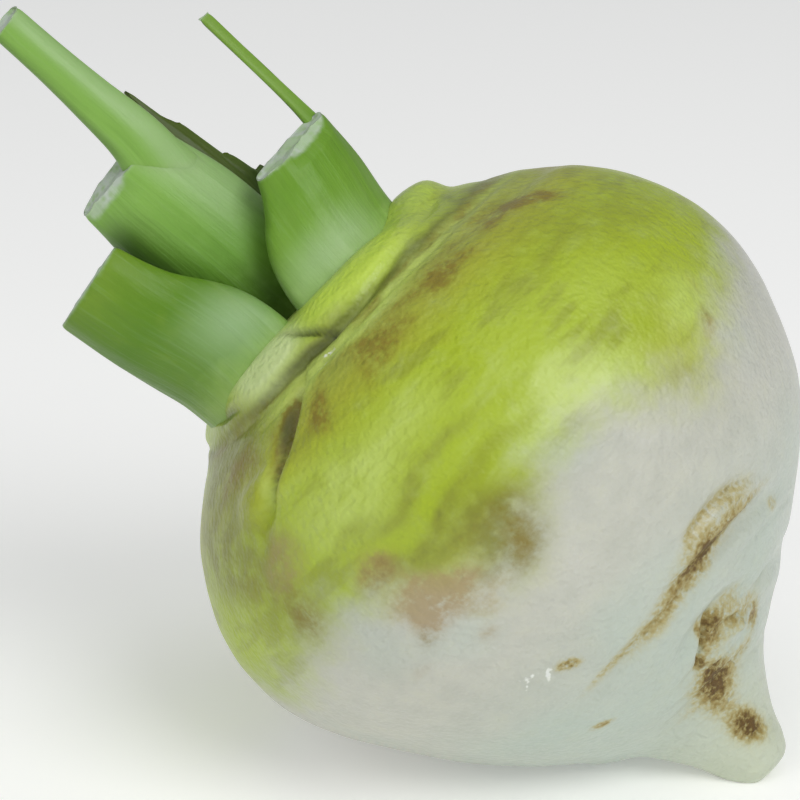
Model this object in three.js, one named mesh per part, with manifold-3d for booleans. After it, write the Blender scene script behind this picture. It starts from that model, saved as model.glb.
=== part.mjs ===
// A green-shouldered white turnip with its leaf stalks cut short, lying on its belly and its root tip.
// Millimetres. The turnip is drawn upright, crown up (+Z) and best side in front (-Y), and laid down last.
import * as THREE from "three";
import { mergeVertices } from "three/addons/utils/BufferGeometryUtils.js";
import Module from "manifold-3d";

const wasm = await Module();
wasm.setup();

// Driving dimensions
const ROOT_RADIUS = 45;
const TIP_DEPTH = 55.3; // root tip below the widest ring's level
const CROWN_HEIGHT = 35.8; // top of the crown above that level
const AXIS_TILT = 41.6; // degrees of the root's axis above the surface it lies on
const AXIS_ROLL = 27.2; // degrees the front is turned up about that axis
const FLAT_DROP = 1.9; // how far the belly is pressed flat
const GAP = 0.3; // air between pieces that grow against each other
const GROUND_SIZE = 400;

// Mesh fineness
const SKIN_COLUMNS = 64;
const SKIN_ROWS = 62;
const ROW_STOPS = [0.004, 0.1, 0.2, 0.3, 0.47, 0.65, 0.755, 0.85, 0.985]; // rows crowd at the folds
const STALK_SIDES = 24;
const STALK_RINGS = 10;

// Where the leaf stalks stand, as one rosette off the root's own centre line
const ROSETTE_X = -4.8;
const ROSETTE_RADIUS = 17;

const radians = THREE.MathUtils.degToRad;
const smooth = THREE.MathUtils.smoothstep;
const vector = (x, y, z) => new THREE.Vector3(x, y, z);

// A value that runs smoothly through a list, at t from 0 to 1.
function along(values, t) {
  const curve = new THREE.SplineCurve(values.map((value, i) => new THREE.Vector2(i, value)));
  return curve.getPoint(t).y;
}

// Half of the root's outline, [radius, height], from the tip up to the middle of the crown.
const OUTLINE = new THREE.SplineCurve(
  [
    [0, -TIP_DEPTH],
    [3.4, -54.9],
    [5.1, -52.7],
    [6.5, -49.2],
    [8.9, -45.2],
    [12.3, -41.1],
    [18, -37],
    [24.8, -31.8],
    [31.2, -26],
    [36.4, -19.8],
    [41.1, -11.9],
    [44.2, -4],
    [ROOT_RADIUS, 3],
    [43.9, 10.5],
    [40.7, 17.4],
    [36.3, 23.1],
    [30.9, 27.6],
    [26.5, 30.7],
    [23.4, 32.9],
    [20.2, 34.4],
    [16, 35.2],
    [9, CROWN_HEIGHT - 0.1],
    [0, CROWN_HEIGHT],
  ].map(([radius, height]) => new THREE.Vector2(radius, height)),
);

// Swellings of the skin: left by fallen leaves round the crown, and lids of the folds at the tail.
// Angles are degrees round the axis, 0 at the front and 90 at +X; sizes are mm.
const SWELLINGS = [
  { angle: -35, height: 32.4, halfAngle: 20, halfHeight: 2.4, lift: 1 },
  { angle: 15, height: 32.7, halfAngle: 26, halfHeight: 2.2, lift: 1.1 },
  { angle: 132, height: 33.2, halfAngle: 24, halfHeight: 2.5, lift: 1.2 },
  { angle: -172, height: 33.4, halfAngle: 25, halfHeight: 2.4, lift: 1.3 },
  { angle: -112, height: 32.6, halfAngle: 28, halfHeight: 2.5, lift: 1.2 },
  { angle: -40, height: 21.2, halfAngle: 9, halfHeight: 2, lift: 0.9 },
  { angle: 24, height: -23.4, halfAngle: 15, halfHeight: 1.7, lift: 1 },
  { angle: 22, height: -34.6, halfAngle: 18, halfHeight: 1.5, lift: 0.9 },
  { angle: 150, height: -33, halfAngle: 30, halfHeight: 2.2, lift: 0.9 },
  { angle: -120, height: -38, halfAngle: 40, halfHeight: 1.8, lift: 0.7 },
];

// The pad where a fallen leaf stood, on the right of the crown, placed by its distance from the axis.
const CROWN_PAD = { angle: 78, radius: 19.6, halfAngle: 27, halfRadius: 3.1, lift: 2.5 };

// Creases that run part of the way round, rising by rise from one end to the other and bowing up by bow.
const CREASES = [
  { angle: -8, height: -27.4, halfAngle: 32, rise: 0.3, bow: 0.2, width: 1.2, depth: 0.7 },
  { angle: 30, height: -27.2, halfAngle: 38, rise: -3.2, bow: 1.6, width: 1.3, depth: 1.2 },
  { angle: 25, height: -24, halfAngle: 19, rise: -0.4, bow: 3.2, width: 1.1, depth: 0.7 },
  { angle: 17, height: -34.3, halfAngle: 25, rise: 0, bow: 2.5, width: 1.1, depth: 1.1 },
  { angle: 60, height: -34.4, halfAngle: 32, rise: 0.6, bow: 0, width: 1.2, depth: 0.9 },
  { angle: 30, height: -37.4, halfAngle: 60, rise: -1.6, bow: 0.3, width: 1.1, depth: 0.7 },
  { angle: -10, height: -40.6, halfAngle: 60, rise: 1, bow: 0.6, width: 1.5, depth: 0.5 },
  { angle: -150, height: -35.5, halfAngle: 60, rise: 1.5, bow: 0.8, width: 1.5, depth: 0.9 },
  { angle: -32, height: 23.2, halfAngle: 14, rise: 12.8, bow: 0, width: 1.3, depth: 1.5 },
  { angle: 0, height: 29.3, halfAngle: 80, rise: 0.6, bow: 0.2, width: 1.2, depth: 0.7 },
  { angle: 165, height: 29.4, halfAngle: 85, rise: -0.8, bow: 0.4, width: 1.3, depth: 0.7 },
  { angle: 55, height: 26, halfAngle: 36, rise: -2.5, bow: 0.6, width: 1.6, depth: 0.8 },
];

// The shortest way round from one angle to another, in degrees.
const angleBetween = (from, to) => THREE.MathUtils.euclideanModulo(to - from + 180, 360) - 180;

// How far the skin stands out from the plain outline at an angle, a height and a radius.
function skinRelief(angle, height, radius) {
  let lift = 0;
  for (const swelling of SWELLINGS) {
    const across = angleBetween(swelling.angle, angle) / swelling.halfAngle;
    const up = (height - swelling.height) / swelling.halfHeight;
    lift += swelling.lift * Math.exp(-(across ** 4) - up ** 4);
  }
  for (const crease of CREASES) {
    const across = angleBetween(crease.angle, angle) / crease.halfAngle;
    const fade = Math.max(0, 1 - across * across);
    const line = crease.height + (crease.rise * across) / 2 + crease.bow * fade;
    lift -= crease.depth * fade * Math.exp(-(((height - line) / crease.width) ** 2));
  }
  if (height < 0) {
    return lift;
  }
  const round = angleBetween(CROWN_PAD.angle, angle) / CROWN_PAD.halfAngle;
  const out = (radius - CROWN_PAD.radius) / CROWN_PAD.halfRadius;
  return lift * smooth(radius, 5, 14) + CROWN_PAD.lift * Math.exp(-(round ** 4) - out ** 4);
}

// The sideways wander of the root's centre line: the tail bends to -X and the crown leans the same way.
function centreX(height) {
  const tailBend = -3.6 * Math.pow(smooth(-height, 22, TIP_DEPTH), 0.7);
  const crownLean = -2.4 * smooth(height, 28, CROWN_HEIGHT + 2);
  return tailBend + crownLean + 0.8 * Math.exp(-(((height + 19) / 7) ** 2));
}

// A point of the root's skin: t runs from the tip (0) to the crown (1), and grow swells the whole root.
function skinPoint(t, angle, grow) {
  const base = OUTLINE.getPointAt(t);
  const tangent = OUTLINE.getTangentAt(t);
  const lift = skinRelief(angle, base.y, base.x) + grow;
  const radius = Math.max(0, base.x + tangent.y * lift);
  const height = base.y - tangent.x * lift;
  const turn = radians(angle);
  return vector(centreX(base.y) + radius * Math.sin(turn), -radius * Math.cos(turn), height);
}

// A closed surface from rings of points, anticlockwise seen from the last one, with its two end caps.
function closedSurface(rings, capFaces) {
  const sides = rings[0].length;
  const positions = rings.flat().flatMap((point) => point.toArray());
  const faces = [];
  for (let i = 0; i + 1 < rings.length; i += 1) {
    for (let j = 0; j < sides; j += 1) {
      const [low, next] = [i * sides + j, i * sides + ((j + 1) % sides)];
      faces.push(low, next, next + sides, low, next + sides, low + sides);
    }
  }
  const last = (rings.length - 1) * sides;
  for (const [a, b, c] of capFaces(sides)) {
    faces.push(a, c, b);
    faces.push(last + a, last + b, last + c);
  }
  const geometry = new THREE.BufferGeometry();
  geometry.setAttribute("position", new THREE.Float32BufferAttribute(positions, 3));
  geometry.setIndex(faces);
  return geometry;
}

// Caps for a round ring: a fan from its first point.
function fanCap(sides) {
  return Array.from({ length: sides - 2 }, (_, j) => [0, j + 1, j + 2]);
}

// Caps for a flat crescent: rungs between its outer and its inner side.
function ladderCap(sides) {
  const faces = [[0, 1, sides - 1]];
  for (let j = 1; j < sides / 2 - 1; j += 1) {
    faces.push([j, j + 1, sides - j], [j + 1, sides - j - 1, sides - j]);
  }
  faces.push([sides / 2 - 1, sides / 2, sides / 2 + 1]);
  return faces;
}

// The root: bulb, crown and tail in one skin.
function rootGeometry(grow) {
  const rings = [];
  for (let i = 0; i <= SKIN_ROWS; i += 1) {
    const t = along(ROW_STOPS, i / SKIN_ROWS);
    const ring = [];
    for (let j = 0; j < SKIN_COLUMNS; j += 1) {
      ring.push(skinPoint(t, (j / SKIN_COLUMNS) * 360, grow));
    }
    rings.push(ring);
  }
  return closedSurface(rings, fanCap);
}

// A leaf stalk: a thick crescent swept from the crown to its cut end. side and back slope the cut, tear makes
// its edge ragged, and grow swells the stalk to leave room round it.
function stalkGeometry(stalk, grow = 0) {
  const path = new THREE.CatmullRomCurve3(stalk.path);
  const rings = [];
  for (let i = 0; i <= STALK_RINGS; i += 1) {
    const t = i / STALK_RINGS;
    const centre = path.getPointAt(t);
    const tangent = path.getTangentAt(t);
    const outward = stalk.outward[0].clone().lerp(stalk.outward[1], t);
    outward.addScaledVector(tangent, -outward.dot(tangent)).normalize();
    const across = tangent.clone().cross(outward);
    const curl = along(stalk.curl, t);
    const ring = [];
    for (let j = 0; j < STALK_SIDES; j += 1) {
      const turn = (-j / STALK_SIDES) * 2 * Math.PI;
      const reach = Math.cos(turn) * (along(stalk.width, t) / 2 + grow);
      const thickness = along(Math.sin(turn) > 0 ? stalk.outer : stalk.inner, t) + grow;
      const rise = Math.sign(Math.sin(turn)) * thickness * Math.pow(Math.abs(Math.sin(turn)), 0.8);
      const bend = reach / curl;
      const sideways = (curl + rise) * Math.sin(bend);
      const depth = (curl + rise) * Math.cos(bend) - curl;
      const torn = stalk.tear ? stalk.tear(Math.cos(turn)) : 0;
      const shift = smooth(t, 0.4, 1) * (sideways * stalk.side + rise * stalk.back + torn);
      ring.push(
        centre
          .clone()
          .addScaledVector(across, sideways)
          .addScaledVector(outward, depth)
          .addScaledVector(tangent, shift + (t === 1 ? grow : 0)),
      );
    }
    rings.push(ring);
  }
  return closedSurface(rings, ladderCap);
}

// Solids for joining and cutting
function solidOf(geometry) {
  const plain = geometry.clone();
  plain.deleteAttribute("normal");
  plain.deleteAttribute("uv");
  const merged = mergeVertices(plain, 1e-4);
  const vertProperties = new Float32Array(merged.attributes.position.array);
  const triVerts = new Uint32Array(merged.index.array);
  return new wasm.Manifold(new wasm.Mesh({ numProp: 3, vertProperties, triVerts }));
}

function geometryOf(solid) {
  const { vertProperties, triVerts } = solid.getMesh();
  const geometry = new THREE.BufferGeometry();
  geometry.setAttribute("position", new THREE.BufferAttribute(new Float32Array(vertProperties), 3));
  geometry.setIndex(new THREE.BufferAttribute(new Uint32Array(triVerts), 1));
  geometry.computeVertexNormals();
  return geometry;
}

// A direction away from the rosette's middle, at an angle round it.
function facing(angle, rise = 0) {
  return vector(Math.sin(radians(angle)), -Math.cos(radians(angle)), rise).normalize();
}

// A point on one of the rosette's rings.
function onRosette(angle, radius, height) {
  return facing(angle).multiplyScalar(radius).add(vector(ROSETTE_X, 0, height));
}

// The four outer stalks stand round the rosette; the front two close in a V over the centre stalk. path is
// the stalk's middle line, outward the way its back faces at each end, width its whole breadth, outer and
// inner its thickness before and behind the middle line, and curl the radius that its section is bent to.
const STALKS = {
  stalk_front_left: {
    color: 0x6f9344,
    path: [
      vector(-17.2, -11, 29),
      vector(-17.8, -12.4, 39),
      vector(-20.9, -14.2, 49),
      vector(-22.7, -15, 57.3),
    ],
    outward: [facing(-46), facing(-30, 0.1)],
    width: [24.5, 23, 17.5, 14.5],
    outer: [3.6, 3.8, 3.6, 3.4],
    inner: [2.6, 3, 3.2, 3],
    curl: [17, 15, 12, 11],
    side: -0.02,
    back: -0.03,
  },
  stalk_front_right: {
    color: 0x82a954,
    path: [
      vector(6.8, -11.2, 29),
      vector(7.4, -12.2, 38.5),
      vector(9.2, -13.2, 45.5),
      vector(10.7, -14, 51.4),
    ],
    outward: [facing(42), facing(32, 0.1)],
    width: [25.5, 24.6, 19.6, 14],
    outer: [3.6, 3.9, 3.6, 3.2],
    inner: [2.6, 2.8, 2.8, 2.6],
    curl: [17, 15, 13, 12],
    side: 0.24,
    back: -0.3,
  },
  stalk_centre: {
    color: 0x79a14b,
    path: [vector(-5.6, -5, 30), vector(-6.2, -7.8, 44), vector(-7.3, -11, 56), vector(-8.3, -12.5, 66)],
    outward: [facing(-4), facing(-2)],
    width: [15, 18.5, 19.5, 16],
    outer: [3.4, 3.8, 3.6, 3.2],
    inner: [2.4, 2.6, 2.6, 2.4],
    curl: [12, 12, 13, 14],
    side: 0.04,
    back: -0.35,
  },
  torn_sheath: {
    color: 0x5a7230,
    path: [vector(-3.2, 0.5, 32), vector(-0.6, -1.5, 46), vector(-0.4, -3.8, 58), vector(-1.4, -5, 67)],
    outward: [facing(12), facing(20)],
    width: [12, 14, 13.5, 11],
    outer: [1.2, 1.1, 0.9, 0.7],
    inner: [0.9, 0.8, 0.7, 0.6],
    curl: [8, 8, 8, 9],
    side: 0,
    back: 0,
    tear: (u) => along([-4, -3.5, -2.5, -1.5, 0, 5.5, 0, -3, -12], (u + 1) / 2),
  },
  stalk_back_left: {
    color: 0x6c9040,
    path: [
      onRosette(-132, ROSETTE_RADIUS - 1, 29),
      onRosette(-132, ROSETTE_RADIUS, 40),
      onRosette(-131, ROSETTE_RADIUS + 3, 52),
    ],
    outward: [facing(-132), facing(-130, 0.1)],
    width: [27, 25.5, 21, 16],
    outer: [3.4, 3.6, 3.4, 3.1],
    inner: [2.4, 2.8, 2.8, 2.6],
    curl: [17, 15, 12, 11],
    side: 0.12,
    back: -0.2,
  },
  stalk_back_right: {
    color: 0x74984a,
    path: [
      onRosette(132, ROSETTE_RADIUS - 1, 29),
      onRosette(132, ROSETTE_RADIUS, 38),
      onRosette(138, ROSETTE_RADIUS + 2, 47),
    ],
    outward: [facing(132), facing(140, 0.1)],
    width: [27, 25.5, 20.5, 16],
    outer: [3.4, 3.6, 3.3, 3],
    inner: [2.4, 2.8, 2.6, 2.4],
    curl: [17, 15, 12, 11],
    side: -0.1,
    back: 0.1,
  },
  heart_stub: {
    color: 0x9cba62,
    path: [vector(-4.4, 6.8, 32), vector(-4.2, 7.4, 39), vector(-4.6, 8.2, 45)],
    outward: [facing(175), facing(170)],
    width: [11, 9.5, 8.5, 8],
    outer: [2.6, 2.4, 2.2, 2],
    inner: [1.8, 1.7, 1.6, 1.5],
    curl: [9, 9, 9, 9],
    side: 0.1,
    back: 0.15,
  },
};

// The narrow upper stalk that carries on past the centre stalk's cut.
const UPPER_STALK = {
  path: [vector(-4, -11.8, 58), vector(-3.4, -14.6, 70), vector(-4.8, -15.8, 80), vector(-5, -17, 90.2)],
  outward: [facing(6), facing(4)],
  width: [8, 5.6, 5, 5],
  outer: [2.4, 2.3, 2.2, 2],
  inner: [1.8, 1.6, 1.5, 1.4],
  curl: [9, 7, 6, 6],
  side: 0.1,
  back: -0.4,
};

// The sliver of rind left standing on the front right stalk.
const RIND_SLIVER = {
  path: [vector(14.6, -8.6, 46), vector(15, -8.8, 54), vector(14.6, -9, 72.8)],
  outward: [facing(38), facing(26)],
  width: [3.6, 2.2, 1.9, 1.8],
  outer: [0.7, 0.6, 0.5, 0.5],
  inner: [0.7, 0.6, 0.5, 0.5],
  curl: [9, 9, 9, 9],
  side: 0,
  back: 0,
};

// What each stalk grows against and is cut back from.
const NEIGHBOURS = {
  stalk_front_right: ["stalk_front_left"],
  stalk_centre: ["stalk_front_left", "stalk_front_right"],
  torn_sheath: ["stalk_centre", "stalk_front_right"],
  stalk_back_left: ["stalk_front_left", "torn_sheath"],
  stalk_back_right: ["stalk_front_right", "torn_sheath", "stalk_back_left"],
  heart_stub: ["torn_sheath", "stalk_back_left", "stalk_back_right"],
};
const EXTRAS = { stalk_centre: UPPER_STALK, stalk_front_right: RIND_SLIVER };

// The biggest body of a solid, without the crumbs that a cut can leave.
function mainBody(solid) {
  return solid.decompose().reduce((best, body) => (body.volume() > best.volume() ? body : best));
}

// A stalk with its extra piece, swollen by grow.
function wholeStalk(name, grow) {
  const solid = solidOf(stalkGeometry(STALKS[name], grow));
  return EXTRAS[name] ? solid.add(solidOf(stalkGeometry(EXTRAS[name], grow))) : solid;
}

// A mesh of a solid in the plant's own dull, moist skin.
function plantMesh(name, solid, color) {
  const material = new THREE.MeshStandardMaterial({ color, roughness: 0.4, metalness: 0 });
  const mesh = new THREE.Mesh(geometryOf(solid), material);
  mesh.name = name;
  return mesh;
}

// One leaf stalk, cut back from the root's skin and from the stalks it grows against.
function leafStalk(name, rootRoom) {
  let solid = wholeStalk(name, 0).subtract(rootRoom);
  for (const neighbour of NEIGHBOURS[name] ?? []) {
    solid = solid.subtract(wholeStalk(neighbour, GAP));
  }
  return plantMesh(name, mainBody(solid), STALKS[name].color);
}

// The turnip laid down: rolled about its axis, tilted, and lowered until its belly presses flat.
const tilted = new THREE.Group();
const rolled = new THREE.Group();
tilted.rotation.y = -radians(90 - AXIS_TILT);
rolled.rotation.z = radians(AXIS_ROLL);
tilted.add(rolled);
tilted.updateMatrixWorld(true);

const rootShape = rootGeometry(0);
const lying = rootShape.clone().applyMatrix4(rolled.matrixWorld);
lying.computeBoundingBox();
tilted.position.z = -lying.boundingBox.min.z - FLAT_DROP;
tilted.updateMatrixWorld(true);

// The surface it lies on, as a block with its top at height 0, brought into the upright turnip's frame.
const ground = new THREE.BoxGeometry(GROUND_SIZE, GROUND_SIZE, GROUND_SIZE);
ground.translate(0, 0, -GROUND_SIZE / 2);
ground.applyMatrix4(rolled.matrixWorld.clone().invert());

const rootSolid = solidOf(rootShape).subtract(solidOf(ground));
const rootRoom = solidOf(rootGeometry(GAP));
rolled.add(plantMesh("turnip_root", rootSolid, 0xb9c58f));
for (const name of Object.keys(STALKS)) {
  rolled.add(leafStalk(name, rootRoom));
}

const turnip = new THREE.Group();
turnip.add(tilted);

export default turnip;
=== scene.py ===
"""A green-shouldered white turnip with its leaf stalks cut short, lying on a pale studio floor.

The turnip is shaped upright in millimetres, crown up and best side to the front, and then laid down.
"""

import logging
import math
from collections.abc import Callable, Mapping, Sequence
from dataclasses import dataclass
from enum import Enum
from typing import Any

import bpy
import numpy as np
from mathutils import Matrix, Vector


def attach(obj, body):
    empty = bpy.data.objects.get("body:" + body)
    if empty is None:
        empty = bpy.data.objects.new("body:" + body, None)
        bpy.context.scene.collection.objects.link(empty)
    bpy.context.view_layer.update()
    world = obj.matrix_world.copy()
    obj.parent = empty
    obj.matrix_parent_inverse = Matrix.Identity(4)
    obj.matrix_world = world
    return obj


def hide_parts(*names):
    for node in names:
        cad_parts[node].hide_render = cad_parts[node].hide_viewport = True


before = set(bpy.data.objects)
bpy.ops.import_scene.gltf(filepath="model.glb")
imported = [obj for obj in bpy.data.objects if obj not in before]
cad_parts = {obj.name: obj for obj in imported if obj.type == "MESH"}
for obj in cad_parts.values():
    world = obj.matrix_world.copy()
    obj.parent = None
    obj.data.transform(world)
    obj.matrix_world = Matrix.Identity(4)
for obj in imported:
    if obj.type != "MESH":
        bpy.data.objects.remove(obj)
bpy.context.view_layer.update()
LOG = logging.getLogger("turnip")
Numbers = np.ndarray
# Layers of unevenness, each with its height, the length of its swells in mm and its seed
Layers = tuple[tuple[float, float, int], ...]
MM = 0.001


# Small sums


def linear(hex_colour: str) -> tuple[float, float, float, float]:
    """Turn an sRGB hex colour into the linear colour that Blender works in.

    Args:
        hex_colour: six hex digits, such as "c5cac2".

    Returns:
        Linear red, green and blue, with an alpha of 1.
    """
    channels = [int(hex_colour[i : i + 2], 16) / 255 for i in (0, 2, 4)]
    red, green, blue = [c / 12.92 if c <= 0.04045 else ((c + 0.055) / 1.055) ** 2.4 for c in channels]
    return red, green, blue, 1.0


def smooth_step(value: Numbers | float, low: float, high: float) -> Numbers:
    """Ease from 0 at low to 1 at high.

    Args:
        value: the numbers to ease.
        low: where the ease starts.
        high: where it ends.

    Returns:
        The eased numbers.
    """
    part = np.clip((np.asarray(value, dtype=float) - low) / (high - low), 0, 1)
    return part * part * (3 - 2 * part)


def along(values: Sequence[float], t: Numbers | float) -> Numbers:
    """Run smoothly through a list of values.

    Args:
        values: evenly spaced values.
        t: places from 0, the first value, to 1, the last.

    Returns:
        The value at each place.
    """
    ends = np.array([values[0], *values, values[-1]], dtype=float)
    place = np.clip(np.asarray(t, dtype=float), 0, 1) * (len(values) - 1)
    step = np.minimum(place.astype(int), len(values) - 2)
    w = place - step
    before, here, there, after = (ends[step + k] for k in range(4))
    out, into = (there - before) / 2, (after - here) / 2
    cubic = (2 * here - 2 * there + out + into) * w**3
    return cubic + (-3 * here + 3 * there - 2 * out - into) * w**2 + out * w + here


def soft_noise(points: Numbers, seed: int) -> Numbers:
    """Give smooth noise with one swell to a unit.

    Args:
        points: places, three numbers each.
        seed: picks the pattern.

    Returns:
        A value from -1 to 1 for each place.
    """
    cell = np.floor(points).astype(np.int64)
    part = points - cell
    part = part * part * (3 - 2 * part)
    total = np.zeros(points.shape[:-1])
    for corner in np.ndindex(2, 2, 2):
        at = cell + np.array(corner)
        mixed = at[..., 0] * 73856093 ^ at[..., 1] * 19349663 ^ at[..., 2] * 83492791 ^ seed * 50331653
        mixed = (mixed ^ (mixed >> 13)) * 1274126177 & 0xFFFFFFFF
        value = ((mixed ^ (mixed >> 16)) & 0xFFFF) / 32767.5 - 1
        total += value * np.prod(np.where(corner, part, 1 - part), axis=-1)
    return total


def uneven(points: Numbers, layers: Layers) -> Numbers:
    """Stack layers of smooth noise.

    Args:
        points: places in mm, three numbers each.
        layers: height, length of the swells in mm and seed of each layer.

    Returns:
        The sum of the layers at each place.
    """
    return sum(strength * soft_noise(points / size, seed) for strength, size, seed in layers)


def angle_between(start: float, angle: Numbers) -> Numbers:
    """Give the shortest way round from one angle to others.

    Args:
        start: the angle to start from, in degrees.
        angle: the angles to reach.

    Returns:
        Degrees from -180 to 180.
    """
    return (angle - start + 180) % 360 - 180


# The turnip's place


@dataclass(frozen=True)
class LyingPose:
    """How the upright turnip is laid down on its belly and its root tip."""

    tilt: float = 41.6
    roll: float = 27.2
    lift: float = 39.61
    contact_round: float = 0.2

    def matrix(self) -> Matrix:
        """Give the upright turnip's turn and lift.

        Returns:
            The matrix, in millimetres.
        """
        turned = Matrix.Rotation(-math.radians(90 - self.tilt), 4, "Y")
        rolled = Matrix.Rotation(math.radians(self.roll), 4, "Z")
        return Matrix.Translation((0, 0, self.lift)) @ turned @ rolled

    def place(self, points: Numbers) -> Numbers:
        """Lay points down and press them flat where they meet the surface below.

        Args:
            points: upright points in millimetres.

        Returns:
            Their places in metres.
        """
        turn = np.array(self.matrix())
        laid = points @ turn[:3, :3].T + turn[:3, 3]
        height = laid[:, 2]
        laid[:, 2] = (height + np.sqrt(height**2 + self.contact_round**2)) / 2
        return laid * MM


POSE = LyingPose()


def make_piece(
    name: str,
    points: Numbers,
    faces: Sequence[Sequence[int]],
    fields: Mapping[str, Numbers],
    node_name: str,
    finish: bpy.types.Material,
) -> bpy.types.Object:
    """Make one piece of the turnip and hide the CAD node that it stands for.

    Args:
        name: the piece's name.
        points: its upright points in millimetres.
        faces: its faces, as rows of point numbers.
        fields: values or vectors at its points that its finish reads.
        node_name: the CAD node that the piece stands for.
        finish: its material.

    Returns:
        The piece.
    """
    mesh = bpy.data.meshes.new(name)
    mesh.from_pydata(POSE.place(points).tolist(), [], faces)
    for field_name, values in {"upright": points, **fields}.items():
        is_vector = values.ndim == 2
        layer = mesh.attributes.new(field_name, "FLOAT_VECTOR" if is_vector else "FLOAT", "POINT")
        layer.data.foreach_set("vector" if is_vector else "value", values.astype(np.float32).ravel())
    mesh.materials.append(finish)
    mesh.shade_smooth()
    mesh.update()
    piece = bpy.data.objects.new(name, mesh)
    bpy.context.scene.collection.objects.link(piece)
    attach(piece, "root")
    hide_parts(node_name)
    LOG.info("%s: %d points, %d faces", name, len(points), len(faces))
    return piece


# Finishes


def add_node(
    tree: bpy.types.NodeTree, kind: str, inputs: Mapping[str | int, Any] | None = None, **settings: Any
) -> bpy.types.Node:
    """Add a node with its settings, values and links.

    Args:
        tree: the material's node tree.
        kind: the node's Blender type.
        inputs: sockets by name or number, each with a value or the output that feeds it.
        settings: the node's own settings.

    Returns:
        The node.
    """
    node = tree.nodes.new(kind)
    for name, value in settings.items():
        setattr(node, name, value)
    for key, value in (inputs or {}).items():
        socket = node.inputs[key]
        if isinstance(value, bpy.types.NodeSocket):
            tree.links.new(value, socket)
        else:
            socket.default_value = value
    return node


def set_stops(ramp_node: bpy.types.Node, stops: Sequence[tuple[float, str]]) -> bpy.types.Node:
    """Give a colour ramp its stops.

    Args:
        ramp_node: the ramp.
        stops: place from 0 to 1 and hex colour of each stop, in order.

    Returns:
        The ramp.
    """
    elements = ramp_node.color_ramp.elements
    while len(elements) < len(stops):
        elements.new(1.0)
    for element, (place, colour) in zip(elements, stops):
        element.position = place
        element.color = linear(colour)
    return ramp_node


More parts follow.
